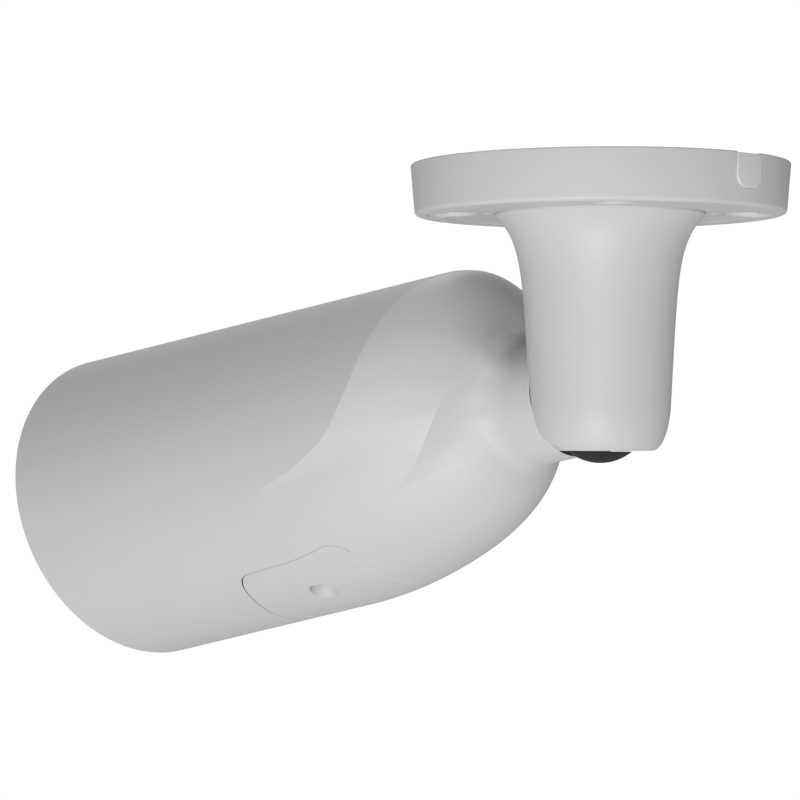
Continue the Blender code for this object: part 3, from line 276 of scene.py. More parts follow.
def powder_coat():
    """Die-cast aluminium with a light-grey polyester powder coat: matt, with a faint orange-peel ripple."""
    made, tree, shader = new_material("powder_coat_light_grey", "#CDCDCC", 0.52, IOR=1.5)
    # The real ripple is about 0.4 mm across; it is drawn at 1.3 mm so that it shows.
    ripple = noise(tree, 1.3 * MM, 2.0)
    grit = noise(tree, 0.35 * MM, 1.0)
    cloud = noise(tree, 28 * MM, 3.0, 0.55)
    vary_color(tree, shader, cloud, "#CBCBCA", "#D0D0CF")
    vary_value(tree, shader.inputs["Roughness"], ripple, 0.47, 0.57)
    bump(tree, shader, [(ripple, 0.018 * MM), (grit, 0.004 * MM)])
    return made


def cast_bare():
    """Uncoated die-cast aluminium, used here inside the shell: dull grey with a shot-blasted grain."""
    made, tree, shader = new_material("die_cast_aluminium_blasted", "#A9ABAD", 0.55, 1.0)
    grain = noise(tree, 0.5 * MM, 3.0)
    vary_color(tree, shader, noise(tree, 9 * MM, 3.0), "#9C9EA0", "#B2B4B6")
    vary_value(tree, shader.inputs["Roughness"], grain, 0.45, 0.65)
    bump(tree, shader, [(grain, 0.03 * MM)])
    return made


def black_polycarbonate():
    """Injection-moulded black polycarbonate with a spark-eroded texture: satin, finely pitted."""
    made, tree, shader = new_material("polycarbonate_moulded_black", "#17181A", 0.42, IOR=1.58)
    texture = noise(tree, 0.5 * MM, 2.0)
    vary_color(tree, shader, texture, "#131416", "#1C1D1F")
    vary_value(tree, shader.inputs["Roughness"], texture, 0.36, 0.5)
    bump(tree, shader, [(texture, 0.02 * MM)])
    return made


def grey_polycarbonate():
    """Moulded light-grey polycarbonate, uncoated: paler and smoother than the coated castings round it."""
    made, tree, shader = new_material("polycarbonate_moulded_pale", "#DCDCDA", 0.45, IOR=1.58)
    texture = noise(tree, 0.6 * MM, 2.0)
    vary_color(tree, shader, noise(tree, 8 * MM), "#DADAD8", "#DEDEDC")
    vary_value(tree, shader.inputs["Roughness"], texture, 0.4, 0.5)
    bump(tree, shader, [(texture, 0.006 * MM)])
    return made


def silicone():
    """Compression-moulded black silicone rubber: near-black and matt, with a soft bloom on it."""
    made, tree, shader = new_material("silicone_rubber_black", "#1B1D1C", 0.62, IOR=1.43)
    bloom = noise(tree, 3.5 * MM, 4.0)
    vary_color(tree, shader, bloom, "#161817", "#222524")
    vary_value(tree, shader.inputs["Roughness"], bloom, 0.52, 0.72)
    bump(tree, shader, [(noise(tree, 0.4 * MM), 0.015 * MM)])
    return made


def acetal():
    """Machined natural acetal: milky white with fine turning lines."""
    made, tree, shader = new_material("acetal_turned_natural", "#E4E1D8", 0.4, IOR=1.48)
    lines = noise(tree, 0.6 * MM, 1.0, stretch=(0.15, 0.15, 1))
    vary_color(tree, shader, lines, "#DEDBD1", "#E9E6DE")
    bump(tree, shader, [(lines, 0.01 * MM)])
    return made


def stainless():
    """Turned A2 stainless steel, used on screws and the ball stud: bright, with fine tool marks."""
    made, tree, shader = new_material("stainless_steel_turned", "#B9B7B2", 0.28, 1.0)
    marks = noise(tree, 0.45 * MM, 2.0, stretch=(1, 0.2, 1))
    vary_value(tree, shader.inputs["Roughness"], marks, 0.2, 0.38)
    vary_color(tree, shader, noise(tree, 4 * MM), "#B2B0AB", "#C0BEBA")
    bump(tree, shader, [(marks, 0.006 * MM)])
    return made


def milled_aluminium():
    """Milled and clear-anodised aluminium: pale satin grey with a directional cutter grain."""
    made, tree, shader = new_material("aluminium_milled_anodised", "#C3C6C9", 0.36, 1.0)
    grain = noise(tree, 0.8 * MM, 3.0, stretch=(0.1, 1, 1))
    vary_value(tree, shader.inputs["Roughness"], grain, 0.28, 0.46)
    vary_color(tree, shader, grain, "#BCBFC2", "#CACDD0")
    bump(tree, shader, [(grain, 0.012 * MM)])
    return made


def window_glass():
    """Float-polished toughened glass with an infrared-pass tint: clear, glossy and faintly smoked."""
    made, tree, shader = new_material(
        "toughened_glass_smoked", "#8B9296", 0.03, IOR=1.52, Transmission_Weight=1.0)
    vary_value(tree, shader.inputs["Roughness"], noise(tree, 6 * MM, 3.0), 0.01, 0.05)
    return made


def coated_lens():
    """Polished optical glass with a magnesium-fluoride coating: dark, with a violet-green sheen."""
    made, tree, shader = new_material(
        "optical_glass_coated", "#0C0A18", 0.02, IOR=1.72,
        Coat_Weight=1.0, Coat_Roughness=0.02, Coat_IOR=1.38)
    # Painted reflection: the base colour runs from violet face-on to green at a slant, standing in for the
    # coating's reflected sheen.
    facing = add_node(tree, "ShaderNodeLayerWeight", inputs={"Blend": 0.35}).outputs["Facing"]
    vary_color(tree, shader, facing, "#1B1038", "#0E3A33")
    vary_value(tree, shader.inputs["Roughness"], noise(tree, 2 * MM), 0.01, 0.05)
    return made


def circuit_board():
    """Glass-epoxy board with green solder resist: semi-gloss, tracks showing as a paler green."""
    made, tree, shader = new_material("glass_epoxy_solder_resist", "#11402A", 0.35, IOR=1.5, Coat_Weight=0.3)
    place = add_node(tree, "ShaderNodeTexCoord").outputs["Object"]
    # Tracks are 0.2 mm wide on the real board; they are drawn about 1 mm wide so that they show.
    cells = add_node(tree, "ShaderNodeTexVoronoi", {"distance": "MANHATTAN"}, {
        "Vector": place, "Scale": 1 / (4 * MM)})
    tracks = add_node(tree, "ShaderNodeMapRange", inputs={
        "Value": cells.outputs["Distance"], "From Min": 0.42, "From Max": 0.5}).outputs["Result"]
    vary_color(tree, shader, tracks, "#0F3D28", "#1D5B3C")
    bump(tree, shader, [(tracks, 0.03 * MM)])
    return made


def chip_epoxy():
    """Transfer-moulded black epoxy, on chips and the memory card: dense and lightly textured."""
    made, tree, shader = new_material("epoxy_moulded_black", "#202226", 0.45, IOR=1.55)
    texture = noise(tree, 0.4 * MM)
    vary_color(tree, shader, texture, "#1B1D21", "#26282C")
    bump(tree, shader, [(texture, 0.01 * MM)])
    return made


def led_silicone():
    """Cast clear silicone lens over an infrared emitter: glossy, pale yellow-grey."""
    made, tree, shader = new_material("led_lens_cast_clear", "#C9C6B4", 0.12, IOR=1.41, Coat_Weight=0.6)
    vary_color(tree, shader, noise(tree, 1.5 * MM), "#BDB9A4", "#D3D0C0")
    return made


MATERIALS = {
    "painted_shell": powder_coat(), "grey_plastic": grey_polycarbonate(),
    "black_plastic": black_polycarbonate(), "rubber": silicone(), "nylon": acetal(),
    "steel": stainless(), "aluminium": milled_aluminium(), "glass": window_glass(),
    "circuit_board": circuit_board(), "chip": chip_epoxy(), "led_lens": led_silicone(),
}
BARE_CAST = cast_bare()
LENS_COATING = coated_lens()


# ---- Making pieces


def finish_piece(bm, name, body, slot, node=None, extra=(), sharp=38, normals=True):
    """Makes the bmesh a piece in the world frame that rides on a body and stands for a CAD node."""
    bmesh.ops.remove_doubles(bm, verts=bm.verts, dist=1e-6)
    if normals:
        bmesh.ops.recalc_face_normals(bm, faces=bm.faces)
    mesh = bpy.data.meshes.new(name)
    bm.to_mesh(mesh)
    bm.free()
    for made in (MATERIALS[slot], *extra):
        mesh.materials.append(made)
    mesh.shade_smooth()
    mesh.set_sharp_from_angle(angle=math.radians(sharp))
    obj = bpy.data.objects.new(name, mesh)
    bpy.context.scene.collection.objects.link(obj)
    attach(obj, body)
    if node:
        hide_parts(node)
    return obj


def turned(profile, steps=96):
    """A solid spun about Z from (radius, height) points, closed unless both ends are on the axis."""
    bm = bmesh.new()
    verts = [bm.verts.new((radius, 0, height)) for radius, height in profile]
    edges = [bm.edges.new(pair) for pair in zip(verts, verts[1:])]
    if profile[0][0] > 0 or profile[-1][0] > 0:
        edges.append(bm.edges.new((verts[-1], verts[0])))
    bmesh.ops.spin(bm, geom=verts + edges, cent=(0, 0, 0), axis=(0, 0, 1),
                   angle=2 * math.pi, steps=steps, use_merge=True)
    bmesh.ops.remove_doubles(bm, verts=bm.verts, dist=1e-7)
    bmesh.ops.recalc_face_normals(bm, faces=bm.faces)
    return bm


def arc(radius, first, last, steps, centre=(0, 0)):
    turns = [math.radians(first + (last - first) * i / steps) for i in range(steps + 1)]
    return [(centre[0] + radius * math.cos(t), centre[1] + radius * math.sin(t)) for t in turns]


def on_circle(radius, degrees):
    return radius * math.cos(math.radians(degrees)), radius * math.sin(math.radians(degrees))


def rod(radius, low, high, steps=48):
    return turned([(0, low), (radius, low), (radius, high), (0, high)], steps)


def block(x, y, z):
    bm = bmesh.new()
    bmesh.ops.create_cube(bm, size=1)
    sides = [high - low for low, high in (x, y, z)]
    middle = [(high + low) / 2 for low, high in (x, y, z)]
    bm.transform(Matrix.Translation(middle) @ Matrix.Diagonal((*sides, 1)))
    return bm


def moved(bm, offset):
    bm.transform(Matrix.Translation(offset))
    return bm


def forward(bm):
    """Lays a solid drawn up Z along the camera body: its +Z looks forward and its +Y up."""
    bm.transform(Matrix.Rotation(math.pi / 2, 4, "X"))
    return bm


def in_body(bm):
    """Takes a solid from the body's frame to the world."""
    bm.transform(BODY_FRAME)
    return bm


def joined(parts):
    whole = bmesh.new()
    for bm in parts:
        mesh = bpy.data.meshes.new("joined_part")
        bm.to_mesh(mesh)
        bm.free()
        whole.from_mesh(mesh)
        bpy.data.meshes.remove(mesh)
    return whole


def carved(bm, steps, mark=None):
    """Applies Booleans in turn, each (operation, bmesh), and returns the result as a new bmesh.
    With mark, faces that the cutters leave take that material index."""
    base_mesh = bpy.data.meshes.new("carved")
    bm.to_mesh(base_mesh)
    bm.free()
    base_mesh.materials.append(None)
    base_mesh.materials.append(None)
    base = bpy.data.objects.new("carved", base_mesh)
    bpy.context.scene.collection.objects.link(base)
    helpers = []
    for operation, tool in steps:
        if mark is not None:
            for face in tool.faces:
                face.material_index = mark
        tool_mesh = bpy.data.meshes.new("tool")
        tool.to_mesh(tool_mesh)
        tool.free()
        tool_mesh.materials.append(None)
        tool_mesh.materials.append(None)
        tool_obj = bpy.data.objects.new("tool", tool_mesh)
        bpy.context.scene.collection.objects.link(tool_obj)
        modifier = base.modifiers.new(operation, "BOOLEAN")
        modifier.operation, modifier.object, modifier.solver = operation, tool_obj, "EXACT"
        helpers.append(tool_obj)
    bpy.context.view_layer.update()
    evaluated = base.evaluated_get(bpy.context.evaluated_depsgraph_get())
    result = bmesh.new()
    result.from_mesh(evaluated.to_mesh())
    evaluated.to_mesh_clear()
    for obj in (base, *helpers):
        mesh = obj.data
        bpy.data.objects.remove(obj)
        bpy.data.meshes.remove(mesh)
    return result


def prism(outline, low, high, axis=2):
    """A solid from an outline drawn in the plane across axis, run from low to high along it."""
    bm = bmesh.new()
    others = [i for i in range(3) if i != axis]
    corners = []
    for a, b in outline:
        point = [0.0, 0.0, 0.0]
        point[others[0]], point[others[1]], point[axis] = a, b, low
        corners.append(bm.verts.new(point))
    face = bm.faces.new(corners)
    made = bmesh.ops.extrude_face_region(bm, geom=[face])
    run = [0.0, 0.0, 0.0]
    run[axis] = high - low
    bmesh.ops.translate(bm, verts=[v for v in made["geom"] if isinstance(v, bmesh.types.BMVert)], vec=run)
    bmesh.ops.recalc_face_normals(bm, faces=bm.faces)
    return bm


# ---- Flange


def plug_outline(clearance, top):
    half, corner = PLUG_WIDTH / 2 + clearance, PLUG_CORNER
    centre = FLANGE_TOP - PLUG_DEPTH - clearance + corner
    left = arc(corner, 180, 270, 12, (corner - half, centre))
    return [(-half, top)] + left + arc(corner, 270, 360, 12, (half - corner, centre)) + [(half, top)]


def flange():
    bottom = FLANGE_BOTTOM
    step_top = bottom + STEP_DEPTH
    seat_r = COLLAR_R + GAP
    bore_r = seat_r + 4.5 * MM
    ring_low = COLLAR_TOP + GAP
    groove_in, groove_out, groove_depth = SEAL_GROOVE
    floor_top = bottom + FLOOR
    lip = 0.4 * MM
    profile = [
        (seat_r, ring_low), (bore_r, ring_low), (bore_r, FLANGE_TOP - lip), (bore_r + lip, FLANGE_TOP),
        (groove_in, FLANGE_TOP), (groove_in, FLANGE_TOP - groove_depth),
        (groove_out, FLANGE_TOP - groove_depth), (groove_out, FLANGE_TOP)]
    profile += arc(TOP_ROUND, 90, 0, 5, (FLANGE_R - TOP_ROUND, FLANGE_TOP - TOP_ROUND))
    profile += arc(FOOT_ROUND, 0, -90, 9, (FLANGE_FOOT_R - FOOT_ROUND, bottom + FOOT_ROUND))
    profile += [(STEP_R + 0.3 * MM, bottom)] + arc(0.3 * MM, 0, 90, 4, (STEP_R - 0.3 * MM, bottom))
    profile += [(ARM_ROOT_R + ARM_SLIT, step_top), (ARM_ROOT_R + ARM_SLIT, floor_top), (seat_r, floor_top)]
    cutters = []
    for degrees in (45, 135, 225, 315):
        recess_top = step_top + RECESS_DEPTH
        stepped = [(0, FLANGE_TOP + REACH), (HOLE_R, FLANGE_TOP + REACH), (HOLE_R, recess_top + 0.3 * MM),
                   (HOLE_R + 0.3 * MM, recess_top)]
        stepped += arc(RECESS_ROUND, 90, 0, 4, (RECESS_R - RECESS_ROUND, recess_top - RECESS_ROUND))
        stepped += [(RECESS_R + 0.15 * MM, bottom - REACH), (0, bottom - REACH)]
        cutters.append(moved(turned(stepped, 64), (*on_circle(HOLE_CIRCLE_R, degrees), 0)))
    for degrees in (-45, 135):
        hole = rod(PAN_SCREW_R + GAP, bottom - REACH, floor_top + REACH, 32)
        cutters.append(moved(hole, (*on_circle(PAN_SCREW_CIRCLE_R, degrees), 0)))
    for degrees in (90, 210, 330):
        hole = rod(RING_HOLE_R, bottom + 3 * MM, ring_low + REACH, 24)
        cutters.append(moved(hole, (*on_circle((seat_r + bore_r) / 2, degrees), 0)))
    notch = prism(plug_outline(PLUG_SLIT, FLANGE_TOP + REACH),
                  FLANGE_R - PLUG_LENGTH - GAP, FLANGE_R + REACH, 1)
    bm = carved(turned(profile, 192), [("DIFFERENCE", joined(cutters)), ("DIFFERENCE", notch)])
    finish_piece(bm, "flange_casting", "mount", "painted_shell", "mounting_flange", sharp=32, normals=False)

    plug = prism(plug_outline(0, FLANGE_TOP - GAP), FLANGE_R - PLUG_LENGTH, FLANGE_R - PLUG_INSET, 1)
    rims = [e for e in plug.edges if all(v.co.y > FLANGE_R - MM for v in e.verts)]
    bmesh.ops.bevel(plug, geom=rims, offset=PLUG_EDGE, segments=4, profile=0.5, affect="EDGES", material=-1)
    finish_piece(plug, "conduit_entry_plug", "mount", "grey_plastic", "conduit_plug")


# ---- Arm and joint


def arm_radius(depth):
    shank = ARM_SHANK_R - ARM_SHANK_TAPER * depth
    flare = (ARM_ROOT_R - ARM_SHANK_R) * math.exp(-depth / ARM_FLARE_LENGTH)
    width, height = ARM_CORNER
    into_corner = max(0.0, depth - (ARM_LENGTH - height)) / height
    return shank + flare - width * (1 - math.sqrt(max(0.0, 1 - into_corner ** 2)))


def arm():
    shares = [(i / 60) ** 1.6 * 0.8 for i in range(61)]
    shares += [0.8 + 0.2 * math.sin(math.pi / 2 * i / 24) for i in range(1, 25)]
    outside = [(arm_radius(share * ARM_LENGTH), FLANGE_BOTTOM - share * ARM_LENGTH) for share in shares]
    foot_r = outside[-1][0]
    collar_bottom = FLANGE_BOTTOM + FLOOR + GAP
    plate_top = ARM_BOTTOM + ARM_PLATE
    profile = [(ARM_BORE_R, COLLAR_TOP), (COLLAR_R, COLLAR_TOP),
               (COLLAR_R, collar_bottom), (ARM_ROOT_R, collar_bottom)]
    profile += outside[:-1] + [(foot_r - 0.1 * MM, ARM_BOTTOM)]
    profile += [(3.3 * MM, ARM_BOTTOM), (3.3 * MM, plate_top), (ARM_BORE_R - ARM_BORE_CORNER, plate_top)]
    profile += [(ARM_BORE_R, plate_top + 2 * ARM_BORE_CORNER)]
    seat_r = TAIL_CLEAR_R - RUN
    sphere = [(0, BALL.z - seat_r)] + arc(seat_r, -90, 90, 96, (0, BALL.z))[1:-1] + [(0, BALL.z + seat_r)]
    recess = carved(arch(TAIL_R + RUN), [("DIFFERENCE", turned(sphere, 192))])
    tongue = rod(TONGUE_R, ARM_BOTTOM - 2 * REACH, plate_top + GAP, 96)
    slot = carved(arch(STEM_SLOT_HALF), [("DIFFERENCE", tongue)])
    bm = carved(turned(profile, 192), [("DIFFERENCE", recess), ("DIFFERENCE", slot)])
    finish_piece(bm, "arm_casting", "arm", "painted_shell", "neck_arm", sharp=32, normals=False)


def arch(half):
    """From behind the ball out past the arm's front: an arch over the ball, open downwards."""
    low = ARM_BOTTOM - REACH
    outline = [(half, low)] + arc(half, 0, 180, 64, (0, BALL.z)) + [(-half, low)]
    return prism(outline, RUN, -ARM_ROOT_R, 1)


def lock_cap():
    top, height = CAP_HIGH.z, CAP_HIGH.z - CAP_LOW.z
    curve = (CAP_R ** 2 + height ** 2) / (2 * height)
    sweep = math.degrees(math.asin(CAP_R / curve))
    dome = arc(curve, -90, -90 + sweep, 24, (0, CAP_LOW.z + curve))
    dome[0] = (0, CAP_LOW.z)
    pocket, pocket_z = 4.8 * MM, top - 1.9 * MM
    profile = dome[:-1] + [(CAP_R - 0.05 * MM, top - 0.15 * MM), (CAP_R - 0.2 * MM, top), (pocket, top),
                           (pocket, pocket_z), (0, pocket_z)]
    finish_piece(turned(profile, 96), "lock_screw_dome", "lock_cap", "rubber", "lock_screw_cap")


def ball_joint():
    reach = math.degrees(math.asin(STEM_R / BALL_R))
    profile = arc(BALL_R, -90, 90 - reach, 48)
    profile[0] = (0, -BALL_R)
    low, high, shoulder_r = STUD_SHOULDER
    edge = 0.3 * MM
    profile += [(STEM_R, low), (shoulder_r - edge, low), (shoulder_r, low + edge), (shoulder_r, high - edge),
                (shoulder_r - edge, high), (STEM_R, high)]
    start, turns, pitch = STUD_THREAD
    for i in range(turns):
        profile += [(STEM_R, start + i * pitch), (STEM_R - 0.4 * MM, start + (i + 0.5) * pitch)]
    profile += [(STEM_R, start + turns * pitch), (STEM_R - 0.6 * MM, STUD_END), (0, STUD_END)]
    bm = forward(turned(profile, 96))
    wires = forward(rod(WIRE_BORE_R, 0, STUD_END + REACH, 48))
    branch = rod(WIRE_BORE_R, -WIRE_BORE_R, BALL_R + REACH, 48)
    bm = in_body(carved(bm, [("DIFFERENCE", wires), ("DIFFERENCE", branch)]))
    finish_piece(bm, "ball_stud_turned", "knuckle", "steel", "ball_stud", normals=False)


# ---- Shell of the camera body


def cone_radius(station):
    return FRONT_R - (BODY_LENGTH - station) * math.tan(BODY_DRAFT)


def rear_lines(degrees):
    """REAR_LINES at any angle, in metres, by monotone cubic curves through the given ones."""
    angles = sorted(REAR_LINES)
    degrees = min(max(degrees, 0), 180)
    upper = next(i for i, angle in enumerate(angles) if angle >= degrees)
    i = max(upper - 1, 0)
    span = angles[i + 1] - angles[i]
    t = (degrees - angles[i]) / span
    result = []
    for number, column in enumerate(zip(*(REAR_LINES[angle] for angle in angles))):
        rises = [(b - a) / (angles[k + 1] - angles[k]) for k, (a, b) in enumerate(zip(column, column[1:]))]
        slopes = []
        for k in (i, i + 1):
            before = rises[k - 1] if k else 0.0
            after = rises[k] if k < len(rises) else 0.0
            slopes.append(0.0 if before * after <= 0 else 2 * before * after / (before + after))
        value = ((2 * t ** 3 - 3 * t ** 2 + 1) * column[i] + (t ** 3 - 2 * t ** 2 + t) * span * slopes[0]
                 + (3 * t ** 2 - 2 * t ** 3) * column[i + 1] + (t ** 3 - t ** 2) * span * slopes[1])
        result.append(value * MM if number in (0, 2, 3, 6) else value)
    return result


def sweep_between(start, start_slope, end, end_slope, t):
    length = math.dist(start, end) / 3
    leave = (start[0] - length * math.cos(math.radians(start_slope)),
             start[1] - length * math.sin(math.radians(start_slope)))
    arrive = (end[0] + length * math.cos(math.radians(end_slope)),
              end[1] + length * math.sin(math.radians(end_slope)))
    weights = ((1 - t) ** 3, 3 * t * (1 - t) ** 2, 3 * t ** 2 * (1 - t), t ** 3)
    return tuple(sum(w * p[axis] for w, p in zip(weights, (start, leave, arrive, end))) for axis in (0, 1))


def shell_column(degrees, steps=(22, 16, 10)):
    """(station, radius) points of the shell's outside at one angle from the top, front crease to tail."""
    crease, slope, rear, rear_r, slope_in, slope_out, root, root_slope = rear_lines(degrees)
    front, rear_point, root_point = (crease, cone_radius(crease)), (rear, rear_r), (root, ROOT_R)
    above, beside = ROOT_FILLET
    fillet = above + (beside - above) * math.sin(math.radians(degrees)) ** 2
    knots = ((front, slope, rear_point, slope_in), (rear_point, slope_out, root_point, root_slope),
             (root_point, root_slope, (root - fillet, TAIL_R), 0))
    points = [front]
    for (start, leave, end, arrive), count in zip(knots, steps):
        points += [sweep_between(start, leave, end, arrive, i / count) for i in range(1, count + 1)]
    return points


def shell_front(degrees, steps=30):
    """(station, radius) points of the shell's outside from the front edge back to the front crease."""
    front = BODY_LENGTH + FRONT_RAKE * FRONT_R * math.cos(math.radians(degrees))
    crease = rear_lines(degrees)[0]
    near, far = front - FRONT_EDGE, crease
    stations = [near + (far - near) * i / steps for i in range(steps)]
    return front, [(station, cone_radius(station)) for station in stations]


def cavity_radius(station):
    start, full, start_r = CAVITY
    back = max(0.0, full - station) / (full - start)
    shoulder_r = cone_radius(max(station, full)) - BODY_WALL
    return shoulder_r - (shoulder_r - start_r) * (1 - math.sqrt(max(0.0, 1 - back ** 2)))


def shell_profile(degrees):
    """The shell's closed section at one angle from the top: outside from the front, tail, bore and cavity."""
    front, cone = shell_front(degrees)
    inner_r = cone_radius(front) - BODY_WALL
    edge, edge_r = front - FRONT_EDGE, cone_radius(front) - FRONT_EDGE
    points = [(edge + y, edge_r + x) for x, y in arc(FRONT_EDGE, 90, 0, 9)[:-1]]
    points += cone + shell_column(degrees)
    tail_end = math.sqrt(TAIL_CLEAR_R ** 2 - TAIL_R ** 2)
    points += [(tail_end + 0.3 * MM, TAIL_R), (tail_end, TAIL_R - 0.3 * MM)]
    for share in (0.25, 0.5, 0.75, 1.0):
        radius = TAIL_R - 0.3 * MM + (SHOULDER_R - TAIL_R + 0.3 * MM) * share
        points.append((math.sqrt(TAIL_CLEAR_R ** 2 - radius ** 2), radius))
    points += [(SHOULDER_END, SHOULDER_R), (SHOULDER_END, STEM_BORE_R), (CAVITY[0], STEM_BORE_R)]
    points += [(station, cavity_radius(station)) for station in
               [CAVITY[0] + (CAVITY[1] - CAVITY[0]) * (i / 12) ** 1.5 for i in range(13)]]
    rib_low, rib_high, rib_r = SEAT_RIB
    points += [(rib_low - 3 * MM, cavity_radius(rib_low - 3 * MM)), (rib_low, rib_r), (rib_high, rib_r),
               (rib_high, cone_radius(rib_high) - BODY_WALL)]
    points += [(front - FRONT_EDGE - 4 * MM, cone_radius(front - 4 * MM) - BODY_WALL)]
    points += [(front - FRONT_EDGE + y, inner_r + FRONT_EDGE - x) for x, y in arc(FRONT_EDGE, 0, 90, 9)]
    return points


def swept_shell(profile_at, columns=COLUMNS, closed=True):
    """Spins one section about the body's axis, then moves each point to the section at its own angle."""
    sections = {}
    bm = bmesh.new()
    row = bm.verts.layers.int.new("row")
    verts = []
    for number, (station, radius) in enumerate(profile_at(0)):
        vert = bm.verts.new((0, -station, radius))
        vert[row] = number
        verts.append(vert)
    edges = [bm.edges.new(pair) for pair in zip(verts, verts[1:])]
    if closed:
        edges.append(bm.edges.new((verts[-1], verts[0])))
    bmesh.ops.spin(bm, geom=verts + edges, cent=(0, 0, 0), axis=(0, 1, 0),
                   angle=2 * math.pi, steps=columns, use_merge=True)
    for vert in bm.verts:
        if math.hypot(vert.co.x, vert.co.z) < 1e-9:
            continue
        turn = round(math.degrees(math.atan2(vert.co.x, vert.co.z)) * 1000) / 1000
        key = abs(turn)
        if key not in sections:
            sections[key] = profile_at(key)
        station, radius = sections[key][vert[row]]
        vert.co = (radius * math.sin(math.radians(turn)), -station, radius * math.cos(math.radians(turn)))
    bmesh.ops.recalc_face_normals(bm, faces=bm.faces)
    return bm


def door_skin(offset):
    """A solid of the shell's outside over the door, set inwards by offset and closed at both ends."""
    def section(degrees):
        cone = shell_front(degrees)[1][8:]
        points = [(s, r - offset) for s, r in cone + shell_column(degrees)[:14]]
        return [(points[0][0], 0.0)] + points + [(points[-1][0], 0.0)]
    return swept_shell(section, closed=False)


def door_outline(clearance):
    half, corner = DOOR_HALF_WIDTH + clearance, DOOR_CORNER
    rear, front = DOOR_STATIONS[0] - clearance, DOOR_STATIONS[1] + clearance
    lean = math.degrees(math.atan2(2 * DOOR_BOW, half - corner / 2))  # of the bow where it leaves the corner
    right = arc(corner, -90, 0, 14, (half - corner, rear + corner))
    right += arc(corner, 0, 90 - lean, 14, (half - corner, front - corner))
    end_x, end = right[-1]
    shares = [1 - i / 12 for i in range(1, 24)]
    bow = [(end_x * share, end + DOOR_BOW * (1 - share ** 2)) for share in shares]
    outline = right + bow + [(-x, s) for x, s in reversed(right)]
    return [(x, -s) for x, s in outline]


def door_screw_head_z():
    x, station = DOOR_SCREW
    return -math.sqrt(cone_radius(station) ** 2 - x ** 2) + DOOR_RECESS_DEPTH


def housing():
    head_z = door_screw_head_z()
    boss_top = head_z + DOOR_HEAD + GAP + DOOR_BOSS_FLOOR
    low = DOOR_CUT[0]
    post_top = head_z + DOOR_SCREW_LENGTH
    posts, holes = [], []
    for side in (-1, 1):
        at = (side * DOOR_SCREW[0], -DOOR_SCREW[1], 0)
        posts.append(moved(rod(POST_R, head_z, post_top), at))
        hole = turned([(0, low), (DOOR_BOSS_R + GAP, low), (DOOR_BOSS_R + GAP, boss_top + GAP),
                       (DOOR_HOLE_R, boss_top + GAP), (DOOR_HOLE_R, post_top + REACH),
                       (0, post_top + REACH)], 48)
        holes.append(moved(hole, at))
    rebate = carved(prism(door_outline(GAP), *DOOR_CUT), [("DIFFERENCE", door_skin(DOOR_WALL + GAP))])
    opening = block(DOOR_OPENING[0], (-DOOR_OPENING[1][1], -DOOR_OPENING[1][0]), DOOR_CUT)
    bm = carved(swept_shell(shell_profile), [
        ("UNION", joined(posts)), ("DIFFERENCE", rebate),
        ("DIFFERENCE", opening), ("DIFFERENCE", joined(holes))])
    for face in bm.faces:
        middle = face.calc_center_median()
        radius = math.hypot(middle.x, middle.z)
        if -middle.y > CAVITY[0] - MM and radius < cavity_radius(min(-middle.y, SEAT_RIB[0])) + 0.6 * MM:
            face.material_index = 1
        else:
            face.material_index = 0
    finish_piece(in_body(bm), "housing_shell", "camera", "painted_shell", "main_housing",
                 extra=(BARE_CAST,), sharp=13, normals=False)


def door():
    head_z = door_screw_head_z()
    low, high = DOOR_CUT
    bosses, recesses = [], []
    for side in (-1, 1):
        at = (side * DOOR_SCREW[0], -DOOR_SCREW[1], 0)
        # Each boss starts inside the curved panel, so no slit opens beside the screw's head.
        boss = moved(rod(DOOR_BOSS_R, head_z - 2 * REACH, head_z + DOOR_HEAD + GAP + DOOR_BOSS_FLOOR), at)
        bosses.append(carved(boss, [("INTERSECT", door_skin(0.4 * MM))]))
        floor = head_z + DOOR_HEAD + GAP
        recess = turned([(0, low), (DOOR_RECESS_R + DOOR_RECESS_FLARE, low),
                         (DOOR_RECESS_R, head_z - 1.2 * MM), (DOOR_RECESS_R, floor),
                         (DOOR_HOLE_R, floor), (DOOR_HOLE_R, high), (0, high)], 64)
        recesses.append(moved(recess, at))
    bm = carved(prism(door_outline(0), low, high), [
        ("INTERSECT", door_skin(0)), ("DIFFERENCE", door_skin(DOOR_WALL)),
        ("UNION", joined(bosses)), ("DIFFERENCE", joined(recesses))])
    finish_piece(in_body(bm), "access_door_panel", "door", "painted_shell", "access_door", normals=False)
    for number, side in enumerate((-1, 1), 1):
        head = [(0, head_z), (DOOR_HEAD_R - 0.5 * MM, head_z), (DOOR_HEAD_R, head_z + 0.5 * MM),
                (DOOR_HEAD_R, head_z + DOOR_HEAD), (DOOR_SCREW_R, head_z + DOOR_HEAD),
                (DOOR_SCREW_R, head_z + DOOR_SCREW_LENGTH - 0.6 * MM),
                (DOOR_SCREW_R - 0.5 * MM, head_z + DOOR_SCREW_LENGTH), (0, head_z + DOOR_SCREW_LENGTH)]
        socket = star_bit(1.75 * MM, head_z - MM, head_z + 0.12 * MM)
        bm = carved(turned(head, 48), [("DIFFERENCE", socket)])
        bm = in_body(moved(bm, (side * DOOR_SCREW[0], -DOOR_SCREW[1], 0)))
        # The captive screws are coated with the door: the coat fills all but the rim of the socket.
        finish_piece(bm, f"door_screw_torx_{number}", "door", "painted_shell",
                     f"door_screw_{number}", normals=False)


def star_bit(radius, low, high):
    """A six-lobed driver socket."""
    turns = [2 * math.pi * i / 48 for i in range(48)]
    lobes = [radius * (0.86 + 0.14 * math.cos(6 * turn)) for turn in turns]
    return prism([(r * math.cos(turn), r * math.sin(turn)) for turn, r in zip(turns, lobes)], low, high)


# ---- Front


